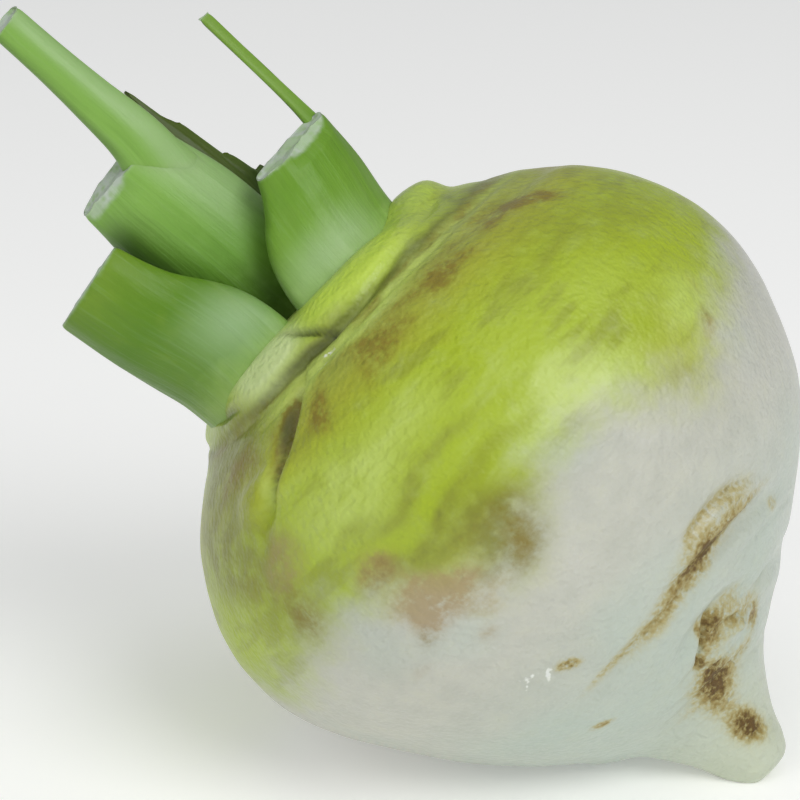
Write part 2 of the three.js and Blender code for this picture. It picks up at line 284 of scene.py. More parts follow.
class Finish:
    """The ground that each plant finish is built on: a fresh material with its tree and its shader."""

    title: str = "plant"

    def start(self) -> None:
        """Open an empty material."""
        self.material = bpy.data.materials.new(self.title)
        self.material.use_nodes = True
        self.tree = self.material.node_tree
        self.tree.nodes.clear()

    def read(self, field_name: str, output: str = "Fac") -> bpy.types.NodeSocket:
        """Read a field that the mesh carries.

        Args:
            field_name: the field.
            output: "Fac" for a value or "Vector" for a place.

        Returns:
            The output that gives it.
        """
        return add_node(self.tree, "ShaderNodeAttribute", attribute_name=field_name).outputs[output]

    def sum(self, operation: str, *values: Any) -> bpy.types.NodeSocket:
        """Work one sum on values or outputs.

        Args:
            operation: Blender's name of the sum.
            values: what it works on.

        Returns:
            Its result.
        """
        return add_node(self.tree, "ShaderNodeMath", dict(enumerate(values)), operation=operation).outputs[0]

    def grain(self, place: Any, scale: float, detail: float = 3, stretch: Sequence[float] = (1, 1, 1)) -> Any:
        """Give noise that stays with the plant's own skin.

        Args:
            place: the output that gives the place in millimetres.
            scale: swells to a millimetre.
            detail: how many finer layers it has.
            stretch: more than 1 for finer along that axis.

        Returns:
            A value around 0.5.
        """
        vector = add_node(self.tree, "ShaderNodeMapping", {"Vector": place, "Scale": stretch}).outputs[0]
        inputs = {"Vector": vector, "Scale": scale, "Detail": detail}
        return add_node(self.tree, "ShaderNodeTexNoise", inputs).outputs[0]

    def ramp(self, value: Any, low: float, high: float, to_low: float = 0, to_high: float = 1) -> Any:
        """Ease a value from one range to another.

        Args:
            value: the output to ease.
            low: its value at the start.
            high: its value at the end.
            to_low: the result at the start.
            to_high: the result at the end.

        Returns:
            The eased value.
        """
        inputs = {"Value": value, "From Min": low, "From Max": high, "To Min": to_low, "To Max": to_high}
        return add_node(self.tree, "ShaderNodeMapRange", inputs, interpolation_type="SMOOTHSTEP").outputs[0]

    def lay(self, under: Any, over: Any, amount: Any) -> Any:
        """Lay one colour over another.

        Args:
            under: the output or hex colour below.
            over: the output or hex colour above.
            amount: how much of the colour above shows.

        Returns:
            The mixed colour.
        """
        colours = [linear(c) if isinstance(c, str) else c for c in (under, over)]
        inputs = {0: amount, 6: colours[0], 7: colours[1]}
        return add_node(self.tree, "ShaderNodeMix", inputs, data_type="RGBA").outputs[2]

    def stir(self, value: Any, noise: Any, amount: Any) -> Any:
        """Shift a value up and down with noise.

        Args:
            value: the value, or the output that gives it.
            noise: the output that gives noise around 0.5.
            amount: how far the value moves as the noise goes from 0 to 1.

        Returns:
            The shifted value.
        """
        return self.sum("MULTIPLY_ADD", self.sum("SUBTRACT", noise, 0.5), amount, value)

    def by_height(self, height: Any, stops: Sequence[tuple[float, str]]) -> Any:
        """Colour the plant by its height.

        Args:
            height: the output that gives the height in mm.
            stops: height in mm and hex colour of each stop, from the lowest.

        Returns:
            The colour.
        """
        low, high = stops[0][0], stops[-1][0]
        fraction = self.sum("DIVIDE", self.sum("SUBTRACT", height, low), high - low)
        ramp_node = add_node(self.tree, "ShaderNodeValToRGB", {0: fraction})
        places = [((at - low) / (high - low), colour) for at, colour in stops]
        return set_stops(ramp_node, places).outputs[0]

    def speckle(self, value: Any, mid: Any, fine: Any, coarse_share: float, fine_share: float) -> Any:
        """Break a soft field up with noise, only where it is already there.

        Args:
            value: the output that gives the field.
            mid: coarser noise around 0.5.
            fine: finer noise around 0.5.
            coarse_share: how far the coarser noise breaks it.
            fine_share: how far the finer noise breaks it.

        Returns:
            The broken field.
        """
        share = self.stir(1.0, mid, coarse_share * 2)
        share = self.stir(share, fine, fine_share * 2)
        return self.sum("MULTIPLY", value, self.sum("MAXIMUM", share, 0.0))

    def bumps(self, layers: Sequence[tuple[Any, float]]) -> Any:
        """Stack bumps, each with its real height.

        Args:
            layers: the output that gives each bump's form, and its height in millimetres.

        Returns:
            The bent normal.
        """
        normal = None
        for height, depth in layers:
            inputs = {"Height": height, "Distance": depth * MM}
            if normal is not None:
                inputs["Normal"] = normal
            normal = add_node(self.tree, "ShaderNodeBump", inputs).outputs[0]
        return normal

    def end(self, colour: Any, roughness: Any, normal: Any, **fixed: Any) -> bpy.types.Material:
        """Close the material with its shader.

        Args:
            colour: the output that gives its colour.
            roughness: the output that gives its roughness.
            normal: the bent normal.
            fixed: values set on the shader's own sockets, with _ for a space.

        Returns:
            The material.
        """
        inputs = {"Base Color": colour, "Roughness": roughness, "Normal": normal}
        inputs |= {name.replace("_", " "): value for name, value in fixed.items()}
        shader = add_node(self.tree, "ShaderNodeBsdfPrincipled", inputs)
        add_node(self.tree, "ShaderNodeOutputMaterial", {"Surface": shader.outputs[0]})
        return self.material


@dataclass
class TurnipSkin(Finish):
    """Turnip rind, grown: thin, smooth and moist over white flesh, green where the sun reached it.

    To the eye it is waxy and a little see-through, with a broken gloss from its fine pores, olive and brown
    stains at the shoulder and dry cork in the folds of the tail. Some colours are painted light: a near-black
    painted shade in the crevices and grooves, painted shade along the tail's folds, and pale painted
    highlights on the bulb and on the ridge below the crown.
    """

    title: str = "turnip_rind_grown"
    body_light: str = "c5c6bc"
    body_dull: str = "bbbdb2"
    body_cool: str = "b4c4b9"
    tail_tint: str = "c9d0b8"
    # Colours of the green skin by height in mm
    greens: tuple[tuple[float, str], ...] = (
        (-12, "bdc180"),
        (-5, "adb853"),
        (3, "9db023"),
        (10, "a2b817"),
        (18, "a3b81f"),
        (23.5, "a1a92e"),
        (27, "a0ad45"),
        (28.4, "abbd58"),
        (29.9, "6f7a2a"),
        (31, "9fb440"),
        (33, "a8c044"),
        (35, "a6bf4e"),
    )
    olive: str = "7e8528"
    pale_green: str = "b9cd66"
    pad: str = "c8d998"
    lime: str = "bad44c"
    # Near-white of the scratch marks and of the painted highlights on the ridge below the crown
    scar_and_highlight: str = "e9ece6"
    stain: str = "7e6b1e"
    pink_stain: str = "a08a62"
    # Cork colours and their tan halo, which also carry the painted shade in the tail's folds
    cork_dark: str = "5e400c"
    cork_tan: str = "957f3a"
    halo: str = "b5ab76"
    # Near-black green of the painted shade in the crevices and grooves
    crease_shade: str = "3c4408"

    def make(self) -> bpy.types.Material:
        """Build the material.

        Returns:
            The material.
        """
        self.start()
        place = self.read("upright", "Vector")
        height = add_node(self.tree, "ShaderNodeSeparateXYZ", {0: place}).outputs[2]
        broad = self.grain(place, 0.07, 2)
        mid = self.grain(place, 0.3, 4)
        fine = self.grain(place, 1.4, 3)
        bands = self.grain(place, 0.16, 4, (0.45, 0.45, 1.7))

        body = self.lay(self.body_dull, self.body_light, self.ramp(self.sum("ADD", broad, mid), 0.7, 1.3))
        body = self.lay(body, self.body_cool, self.ramp(self.grain(place, 0.045, 1), 0.45, 0.7, 0, 0.5))
        body = self.lay(body, self.body_cool, self.ramp(height, -12, -34, 0, 0.6))
        body = self.lay(body, self.tail_tint, self.ramp(height, -36, -52, 0, 0.7))

        # The colours wander less in height where they crowd near the crown
        wander = self.ramp(height, 16, 27, 7, 1.5)
        green = self.by_height(self.stir(height, mid, wander), self.greens)
        streaks = self.sum("ADD", bands, mid)
        # Paler green: partly the skin's own paler patches, partly a painted highlight where the gloss washes
        # out the green
        pale = self.sum("MULTIPLY", self.read("pale"), self.ramp(streaks, 0.7, 1.15, 0.35, 1))
        green = self.lay(green, self.pale_green, self.sum("ADD", pale, self.ramp(bands, 0.56, 0.72, 0, 0.35)))
        olive = self.sum("MULTIPLY", self.read("olive"), self.ramp(streaks, 0.7, 1.15, 0.3, 1))
        green = self.lay(green, self.olive, olive)
        green = self.lay(green, self.olive, self.ramp(bands, 0.46, 0.34, 0, 0.42))
        green = self.lay(green, self.lime, self.read("lime"))
        green = self.lay(green, self.pad, self.read("pad"))

        edge = self.stir(self.stir(self.read("green"), mid, 0.6), fine, 0.16)
        skin = self.lay(body, green, self.ramp(edge, -0.05, 1.05))

        mottle = self.speckle(self.read("pink"), mid, fine, 1.0, 0.6)
        skin = self.lay(skin, self.pink_stain, self.ramp(mottle, 0.0, 1.1, 0, 0.8))
        mottle = self.speckle(self.read("stain"), mid, fine, 1.3, 1.0)
        skin = self.lay(skin, self.stain, self.ramp(mottle, -0.1, 1.6, 0, 0.85))

        # Cork with its halo, and painted shade in the tail's folds laid in the same colours
        cork_and_fold_shade = self.speckle(self.read("cork_and_fold_shade"), mid, fine, 0.8, 1.5)
        skin = self.lay(skin, self.halo, self.ramp(cork_and_fold_shade, -0.1, 0.65, 0, 0.85))
        skin = self.lay(skin, self.cork_tan, self.ramp(cork_and_fold_shade, 0.25, 1.15, 0, 0.8))
        skin = self.lay(skin, self.cork_dark, self.ramp(cork_and_fold_shade, 0.75, 1.9, 0, 0.88))
        # Painted shade: near-black green laid into the crevices and grooves of the crown and shoulder
        skin = self.lay(skin, self.crease_shade, self.read("crease_shade"))
        # White scratch marks, and painted highlights on the ridge below the crown pads
        scar_and_highlight = self.speckle(self.read("scar_and_highlight"), mid, fine, 1.5, 2.0)
        skin = self.lay(skin, self.scar_and_highlight, self.ramp(scar_and_highlight, 0.25, 0.8, 0, 0.8))

        pores = self.grain(place, 0.95, 1)
        wrinkles = self.grain(place, 0.5, 4, (0.5, 0.5, 2.2))
        wrinkles = self.sum("MULTIPLY", wrinkles, self.ramp(height, -22, -40, 1, 2.6))
        normal = self.bumps([(broad, 0.6), (wrinkles, 0.1), (pores, 0.34), (fine, 0.05), (cork_and_fold_shade, 0.25)])
        roughness = self.ramp(self.sum("ADD", cork_and_fold_shade, self.sum("MULTIPLY", mid, 0.4)), 0.1, 1.0, 0.4, 0.75)
        return self.end(
            skin,
            roughness,
            normal,
            IOR=1.42,
            Specular_IOR_Level=0.3,
            Subsurface_Weight=0.12,
            Subsurface_Radius=(1.0, 0.9, 0.6),
            Subsurface_Scale=1.6 * MM,
            Coat_Weight=0.32,
            Coat_Roughness=0.17,
        )


@dataclass
class StalkSkin(Finish):
    """Leaf stalk, grown and cut with a knife: juicy and ribbed lengthwise.

    To the eye it is a soft green with paler ribs, paler still at its foot, and its cut ends show whitish
    pith with a ring of darker strands.
    """

    title: str = "leaf_stalk_cut"
    foot: str = "8fb054"
    low: str = "74994c"
    mid: str = "689040"
    top: str = "71933c"
    # Pale rib colour, also the colour of the painted highlights
    rib_and_highlight: str = "9dba84"
    shade: str = "476b22"
    pith: str = "b6c2b3"
    strand: str = "9cb48a"
    # Heights in mm at which the foot, low, mid and top colours lie
    levels: tuple[float, float, float, float] = (33, 38, 47, 60)
    # How far those colours wander in height, in mm
    height_wander: float = 6

    def make(self) -> bpy.types.Material:
        """Build the material.

        Returns:
            The material.
        """
        self.start()
        place = self.read("upright", "Vector")
        lengthwise = self.read("lengthwise", "Vector")
        height = add_node(self.tree, "ShaderNodeSeparateXYZ", {0: place}).outputs[2]
        mid = self.grain(place, 0.28, 3)
        fine = self.grain(place, 1.6, 3)
        ribs = self.grain(lengthwise, 1.0, 3, (1.1, 0.045, 1))
        fibres = self.grain(lengthwise, 1.0, 2, (3.2, 0.16, 1))

        stops = list(zip(self.levels, (self.foot, self.low, self.mid, self.top)))
        skin = self.by_height(self.stir(height, mid, self.height_wander), stops)
        skin = self.lay(skin, self.rib_and_highlight, self.ramp(self.sum("ADD", ribs, fibres), 1.0, 1.35, 0, 0.1))
        skin = self.lay(skin, self.shade, self.ramp(ribs, 0.5, 0.3, 0, 0.12))
        skin = self.lay(skin, self.top, self.ramp(mid, 0.5, 0.7, 0, 0.3))
        # Painted shade, then painted highlights in the pale rib colour
        skin = self.lay(skin, self.shade, self.read("shade"))
        skin = self.lay(skin, self.rib_and_highlight, self.read("light"))

        cells = add_node(self.tree, "ShaderNodeTexVoronoi", {"Vector": place, "Scale": 0.7})
        strands = cells.outputs["Distance"]
        pith = self.lay(self.strand, self.pith, self.ramp(strands, 0.05, 0.5))
        pith = self.lay(pith, self.rib_and_highlight, self.ramp(mid, 0.42, 0.6, 0, 0.6))
        cut = self.stir(self.stir(self.read("cut"), fine, 0.3), mid, 0.6)
        skin = self.lay(skin, pith, self.ramp(cut, 0.2, 0.9))

        normal = self.bumps([(ribs, 0.16), (fibres, 0.04), (fine, 0.05)])
        roughness = self.ramp(self.sum("ADD", mid, self.read("cut")), 0.2, 1.4, 0.4, 0.65)
        return self.end(
            skin,
            roughness,
            normal,
            IOR=1.4,
            Specular_IOR_Level=0.4,
            Subsurface_Weight=0.12,
            Subsurface_Radius=(0.6, 1.0, 0.4),
            Subsurface_Scale=1.4 * MM,
            Coat_Weight=0.08,
            Coat_Roughness=0.3,
        )


# The root


@dataclass(frozen=True)
class Swelling:
    """A raised part of the skin: its middle, its half sizes in degrees and mm, and its lift."""

    angle: float
    height: float
    half_angle: float
    half_height: float
    lift: float


@dataclass(frozen=True)
class CrownPad:
    """A pad on the crown, placed by its distance from the axis in mm."""

    angle: float
    radius: float
    half_angle: float
    half_radius: float
    lift: float


@dataclass(frozen=True)
class Fold:
    """A crease that rises from one end to the other and bows up between them, in degrees and mm."""

    angle: float
    height: float
    half_angle: float
    rise: float
    bow: float
    width: float
    depth: float

    def reach(self, angle: Numbers, height: Numbers) -> tuple[Numbers, Numbers]:
        """Say where the skin lies against the fold.

        Args:
            angle: the skin's angles.
            height: the skin's heights.

        Returns:
            How far along it the fold has faded, from 1 to 0, and the height above its line in mm.
        """
        across = angle_between(self.angle, angle) / self.half_angle
        fade = np.clip(1 - across * across, 0, None)
        return fade, height - (self.height + self.rise * across / 2 + self.bow * fade)


@dataclass(frozen=True)
class Patch:
    """A soft patch of colour: its middle in degrees and mm, its half sizes in mm, slant and strength."""

    angle: float
    height: float
    half_width: float
    half_height: float
    strength: float = 1
    slant: float = 0

    def weight(self, angle: Numbers, height: Numbers, radius: Numbers) -> Numbers:
        """Give the patch's strength over the skin.

        Args:
            angle: the skin's angles.
            height: the skin's heights.
            radius: the skin's radii.

        Returns:
            Its strength at each place.
        """
        across = np.radians(angle_between(self.angle, angle)) * radius / self.half_width
        up = (height - self.height - self.slant * across * self.half_width) / self.half_height
        return self.strength * np.exp(-((across**2 + up**2) ** 1.3))


@dataclass
class Root:
    """The root itself: bulb, crown and tail in one skin."""

    columns: int = 300
    rows: int = 308
    tip_depth: float = 55.3
    crown_height: float = 35.8
    # How far the centre line wanders in mm: at the tail, at the crown and on the lower side, and at what
    # heights
    tail_bend: float = -3.6
    tail_bend_start: float = 22
    crown_lean: float = -2.4
    crown_lean_start: float = 28
    lower_sway: float = 0.8
    lower_sway_height: float = -19
    lower_sway_half: float = 7
    # Half of the outline, radius and height in mm, from the tip to the middle of the crown
    outline: tuple[tuple[float, float], ...] = (
        (0, -55.3), (3.4, -54.9), (5.1, -52.7), (6.5, -49.2), (8.9, -45.2), (12.3, -41.1), (18, -37),
        (24.8, -31.8), (31.2, -26), (36.4, -19.8), (41.1, -11.9), (44.2, -4), (45, 3), (43.9, 10.5),
        (40.7, 17.4), (36.3, 23.1), (30.9, 27.6), (26.5, 30.7), (23.4, 32.9), (20.2, 34.4), (16, 35.2),
        (9, 35.7), (0, 35.8),
    )
    # Where the rows of points lie along the outline: closer at the folds
    row_stops: tuple[float, ...] = (0.0, 0.085, 0.18, 0.27, 0.37, 0.52, 0.66, 0.76, 0.86, 1.0)
    swellings: tuple[Swelling, ...] = (
        Swelling(-35, 32.4, 20, 2.4, 1),
        Swelling(15, 32.7, 26, 2.2, 1.1),
        Swelling(132, 33.2, 24, 2.5, 1.2),
        Swelling(-172, 33.4, 25, 2.4, 1.3),
        Swelling(-112, 32.6, 28, 2.5, 1.2),
        Swelling(-40, 21.2, 9, 2, 0.9),
        Swelling(24, -23.4, 15, 1.7, 0.7),
        Swelling(22, -36.4, 13, 1.1, 1.3),
        Swelling(150, -33, 30, 2.2, 0.9),
        Swelling(-120, -38, 40, 1.8, 0.7),
    )
    crown_pads: tuple[CrownPad, ...] = (
        CrownPad(78, 19.6, 27, 3.1, 2.5),
    )
    folds: tuple[Fold, ...] = (
        Fold(-8, -27.4, 32, 0.3, 0.2, 1.2, 0.7),
        Fold(30, -27.2, 38, -3.2, 1.6, 1.3, 1.2),
        Fold(25, -24, 19, -0.4, 3.2, 1.1, 0.7),
        Fold(17, -34.3, 25, 0, 2.5, 1.1, 1.1),
        Fold(60, -34.4, 32, 0.6, 0, 1.2, 0.9),
        Fold(30, -37.4, 60, -1.6, 0.3, 1.1, 0.7),
        Fold(-10, -40.6, 60, 1, 0.6, 1.5, 0.5),
        Fold(-150, -35.5, 60, 1.5, 0.8, 1.5, 0.9),
        Fold(-32, 23.2, 14, 12.8, 0, 1.3, 1.5),
        Fold(0, 29.3, 80, 0.6, 0.2, 1.2, 0.7),
        Fold(165, 29.4, 85, -0.8, 0.4, 1.3, 0.7),
        Fold(55, 26, 36, -2.5, 0.6, 1.6, 0.8),
    )
    # Fine wrinkles that are too thin for the CAD skin
    wrinkles: tuple[Fold, ...] = (
        Fold(26, -25.7, 17, -1.6, 1.2, 0.35, 0.35),
        Fold(31, -24.6, 15, -2.6, 1.4, 0.35, 0.3),
        Fold(29, -23, 16, -2.4, 1.8, 0.35, 0.3),
        Fold(8, -27.2, 30, 2.6, 0.3, 0.45, 0.35),
        Fold(-14, -28.4, 26, 0.4, 0, 0.4, 0.25),
        Fold(47, -29.2, 26, -1, 0.3, 0.4, 0.3),
        Fold(10.5, -34.2, 9, 5.4, 0.4, 0.6, 1.5),
        Fold(20, -36.8, 15, -1.4, 0.6, 0.5, 0.5),
        Fold(22, -35.4, 12, -1.2, 0.8, 0.3, 0.35),
        Fold(50, -34.3, 12, 0.4, 0.2, 0.4, 0.5),
        Fold(16, -35.9, 17, -0.2, 1.8, 0.35, 0.35),
        Fold(24, -36.6, 24, -1, 1.6, 0.35, 0.35),
        Fold(6, -36.4, 14, 0.4, 0.6, 0.35, 0.3),
        Fold(36, -36.2, 26, -1.2, 0.5, 0.35, 0.3),
        Fold(2, -38.2, 40, 0.6, 0.3, 0.35, 0.25),
        Fold(14, -39.8, 52, -0.6, 0.2, 0.4, 0.3),
        Fold(40, -41.2, 46, 0.4, 0.2, 0.4, 0.25),
        Fold(-30, -43.4, 50, 0.6, 0.3, 0.4, 0.2),
        Fold(20, -44.6, 56, -0.4, 0.2, 0.4, 0.2),
        Fold(10, -49.6, 60, 0.3, 0.2, 0.4, 0.2),
        Fold(-31, 23.4, 12, 11.5, 0, 0.55, 0.9),
        Fold(-22, 30, 34, 0, 0, 0.4, 0.8),
        Fold(-11.5, 31.9, 5.5, -4.6, 0, 0.65, 1.1),
        Fold(12, 30.6, 28, 2.2, 0, 0.45, 0.9),
        Fold(52, 32.6, 16, 2.4, 0, 0.45, 0.7),
        Fold(-56, 32, 20, -3.4, 0, 0.5, 0.7),
        Fold(-56, 29.6, 24, -1.6, 0.3, 0.5, 0.5),
        Fold(14, 28.2, 40, 0.6, 0.3, 0.45, 0.45),
        Fold(-18, 27.5, 26, 0.8, 0.2, 0.45, 0.4),
        Fold(48, 28.9, 26, -1.8, 0.2, 0.5, 0.5),
        Fold(120, 31, 44, 1.2, 0.4, 0.5, 0.6),
        Fold(-160, 31.2, 48, -1, 0.5, 0.5, 0.6),
        Fold(-110, 30.4, 36, 1.4, 0.3, 0.5, 0.6),
    )
    # Height of the green skin's lower edge by angle
    green_edge: tuple[tuple[float, float], ...] = (
        (-180, 2), (-150, 5), (-120, 1), (-90, 3), (-70, 0), (-58, 0), (-50, 1.6), (-40, 3.6), (-35, 3.2),
        (-29, 0.4), (-22, -2.6), (-17, -6.4), (-10, -7.4), (-4.5, -6.6), (0, -3.4), (4, -1.6), (10, -0.6),
        (17, -1.8), (24, -4.2), (33, -8), (40, -8.6), (46, -6), (54, -3.6), (62, -1), (75, 4), (95, 1),
        (120, 4), (150, -1), (180, 2),
    )
    olive: tuple[Patch, ...] = (
        Patch(-9, -3.6, 6, 5, 1.1),
        Patch(-4.6, -5, 4, 3.6, 1.0),
        Patch(-14, -6.6, 4, 2, 0.8),
        Patch(-16, 1.5, 8, 2.0, 0.65),
        Patch(-12, 8.4, 11, 1.3, 0.75, 0.1),
        Patch(-16, 3.4, 8, 0.9, 0.5, 0.1),
        Patch(-47, 7, 5, 4.5, 0.75),
        Patch(-54, 17, 8, 8, 0.85),
        Patch(-30, 9, 8, 1.2, 0.5, 0.1),
        Patch(-2, 4, 9, 1.1, 0.45, 0.1),
        Patch(30, 17, 9, 1.3, 0.4, 0.05),
        Patch(-42, 14, 5, 4, 0.4),
        Patch(54, 14, 9, 6, 0.5),
        Patch(33, -6.8, 4, 2.6, 0.35),
        Patch(-44, 27, 7, 3, 0.7),
        Patch(-58, 29, 7, 4, 0.9),
        Patch(-68, 22, 8, 7, 0.85),
        Patch(40, 20, 8, 5, 0.3),
        Patch(64, 30.5, 6, 2, 0.35),
        Patch(140, 8, 12, 5, 0.5),
        Patch(-130, 10, 14, 4, 0.5),
    )
    pale: tuple[Patch, ...] = (
        Patch(-24, 13.5, 9, 5.5, 0.95),
        Patch(-6, 15.5, 7, 3.4, 0.35),
        # Painted highlight: the bulb's broken gloss washes out the green here
        Patch(15, 3.5, 8, 5, 0.75),
        Patch(24, -0.5, 5, 4, 0.6),
        Patch(34, 9, 7, 5, 0.3),
        Patch(45, 0, 5, 5, 0.6),
        Patch(-60, 4, 5, 8, 0.4),
        Patch(-27, 27.2, 4.5, 1.3, 0.9),
        Patch(-11, 27.3, 5.5, 1.2, 1.05),
        Patch(0, 27.9, 4.5, 1.0, 0.95),
        Patch(10.5, 28.2, 5, 0.9, 0.8),
        Patch(24, 28.8, 5, 0.8, 0.6),
        Patch(-37.5, 21.5, 1.3, 3.2, 0.5, 0.6),
        Patch(120, 14, 12, 5, 0.6),
        Patch(-150, 16, 12, 4, 0.6),
    )
    pad: tuple[Patch, ...] = (
        Patch(-29, 31.9, 5.2, 1.7, 1.0, 0.1),
        Patch(-38, 33.4, 4, 1.7, 0.9),
        Patch(-21, 32.8, 3.4, 2, 0.8),
        Patch(140, 33, 9, 2.2, 0.8),
        Patch(-150, 33, 10, 2.2, 0.8),
    )
    lime: tuple[Patch, ...] = (
        Patch(-3, 33.4, 3.6, 1.9, 0.9),
        Patch(7, 32.5, 4.5, 1.6, 0.9),
        Patch(19, 32.3, 5, 1.5, 0.85),
        Patch(32, 33, 5, 1.4, 0.6),
        Patch(84, 33, 7, 2, 0.6),
        Patch(-100, 33, 8, 2, 0.6),
    )
    stain: tuple[Patch, ...] = (
        Patch(-2.5, 23.5, 3.0, 2.0, 1.05, 0.2),
        Patch(-5, 25.2, 3.5, 1.0, 0.6),
        Patch(4.5, 24.5, 2.2, 1.4, 0.7),
        Patch(-20.5, 24.2, 2.2, 1.3, 1.1, 0.3),
        Patch(-26, 26, 2.4, 1.0, 0.6),
        Patch(4, 29.3, 3, 0.8, 0.6),
        Patch(6, 26.8, 5, 1.2, 0.45),
        Patch(28, 26.6, 6, 1.2, 0.5),
        Patch(46, 28, 6, 1.3, 0.45),
        Patch(-20, 22.8, 1.8, 1.4, 0.7),
        Patch(19, 24.8, 3.6, 1.4, 1.1, 0.1),
        Patch(26, 24.6, 3.4, 1.0, 0.8, -0.2),
        Patch(12, 26, 3, 0.8, 0.6),
        Patch(46, 25, 4.6, 1.8, 1.2, -0.3),
        Patch(52, 23.4, 2.6, 1.6, 1.1, -0.4),
        Patch(38, 25, 3, 0.8, 0.5),
        Patch(-12, 26, 5, 0.6, 0.3),
        Patch(-29, 25.4, 2.6, 1.4, 1.25, 0.6),
        Patch(-34, 22.6, 1.2, 2.4, 0.8, 0.9),
        Patch(-46, 25.2, 3.6, 1.6, 0.8),
        Patch(-54, 25, 2.6, 1.6, 0.7),
        Patch(-60, 22, 3, 2.5, 0.2),
        Patch(-27, 3.6, 3.2, 2.2, 0.75),
        Patch(-9, -6.4, 4.5, 2.6, 0.6),
        Patch(-5, -3.4, 3.2, 3.4, 0.65),
        Patch(-12, -1, 4, 2, 0.35),
        Patch(-31.5, -6.8, 2, 1.6, 0.7),
        Patch(-46, 6, 3.4, 3.6, 0.75),
        Patch(-54, 13, 4, 3.2, 0.4),
        Patch(46, -3.2, 1.7, 1.4, 0.75),
        Patch(49, 0.4, 1.2, 1.6, 0.4),
        Patch(34, -5.8, 2.2, 1.6, 0.3),
        Patch(85, 25, 7, 2, 0.8),
        Patch(118, 26, 6, 1.6, 1.0),
        Patch(160, 24.5, 7, 2, 0.8),
        Patch(-150, 25.5, 8, 1.6, 1.0),
        Patch(-105, 24.5, 7, 1.8, 0.9),
        Patch(150, -6, 7, 2.5, 0.5),
    )
    pink: tuple[Patch, ...] = (
        Patch(-23, -3.4, 5.4, 3.8, 1.35, -0.2),
        Patch(-29, -6, 3, 2.4, 0.7),
        Patch(-27, 4, 3.6, 2.4, 0.8),
        Patch(-14, -7.4, 3, 1.2, 0.35),
        Patch(-41, 13, 3.6, 4, 0.6),
        Patch(-47, 11, 3, 3, 0.4),
        Patch(-18, -9, 2, 1.4, 0.3),
        Patch(-24, -11.4, 2.4, 1.4, 0.45),
        Patch(-38, -8.8, 2.2, 0.9, 0.3),
        Patch(46, -4.6, 2.4, 1.4, 0.6),
        Patch(128, -8, 6, 2.2, 0.5),
        Patch(-140, -9, 5, 2, 0.5),
    )
    cork_and_fold_shade: tuple[Patch, ...] = (
        Patch(17, -24.6, 2.8, 2.1, 1.35, 0.3),
        Patch(24.5, -24.4, 3.4, 1.1, 0.8, 0.2),
        Patch(32, -24.6, 2.6, 0.7, 0.65, 0.1),
        # Painted shade: soft grey-brown inside the eye-shaped fold
        Patch(24, -23.4, 7, 2.8, 0.36, 0.1),
        Patch(38.5, -25, 4, 0.9, 0.35),
        Patch(50, -28, 1.4, 0.5, 0.5),
        # Painted shade: the arcs along the eye's upper lid
        Patch(15, -21.8, 1.6, 0.9, 0.25, 0.6),
        Patch(21, -20.8, 3, 0.8, 0.22),
        Patch(31, -21.8, 4, 0.7, 0.2, -0.2),
        Patch(9.5, -25.4, 2.8, 2, 0.46, 0.3),
        Patch(11, -24.8, 0.7, 0.5, 0.5),
        Patch(3.5, -26.6, 3.4, 1.7, 0.4, 0.15),
        Patch(-4, -27, 3.6, 1.4, 0.33),
        Patch(-12, -26.6, 3.6, 0.9, 0.3),
        Patch(-20, -27, 3.6, 0.6, 0.24),
        Patch(9.5, -33.2, 0.7, 1.9, 0.7, 1.2),
        Patch(4.4, -35.8, 0.9, 0.9, 1.0),
        Patch(15.5, -33.8, 1.9, 1.3, 1.1),
        Patch(22, -33.4, 4, 1.5, 0.42),
        Patch(43, -37.2, 1.3, 1.1, 1.0),
        Patch(32, -35.2, 4, 1.2, 0.42),
        Patch(33, -39.2, 3, 0.8, 0.45),
        Patch(7.5, -39.2, 2.5, 2.3, 1.25),
        Patch(6, -40, 3.8, 3.3, 0.5),
        Patch(16, -40, 2.6, 2.2, 0.4),
        Patch(5, -42.8, 2.6, 1.6, 0.3),
        Patch(13.5, -47.6, 1.9, 2.2, 1.25, -0.4),
        Patch(13, -47.4, 2.9, 3.3, 0.5, -0.4),
        Patch(-22.3, -22.3, 1.4, 0.6, 1.2, -0.35),
        Patch(-34.5, -32, 1.3, 0.5, 0.9, -0.3),
        Patch(-14, -41, 2.2, 0.3, 0.25),
        Patch(150, -34.5, 3, 1, 0.9),
        Patch(158, -33.5, 7, 1.8, 0.4),
        Patch(-130, -36.8, 3.5, 0.8, 0.8),
        Patch(-120, -27, 1.6, 0.5, 0.7),
        Patch(95, -22, 1.5, 0.45, 0.7),
    )
    scar_and_highlight: tuple[Patch, ...] = (
        Patch(-26, -21.4, 1.3, 0.35, 0.9, 0.5),
        Patch(-30, -19.8, 1.8, 0.3, 0.8, -0.5),
        Patch(-31.5, -20.6, 1.2, 0.25, 0.7, 0.6),
        # Painted highlights on the ridge below the crown pads
        Patch(-11.8, 28.4, 1.4, 0.35, 0.8),
        Patch(-13.6, 27.3, 1.6, 0.25, 0.6),
    )
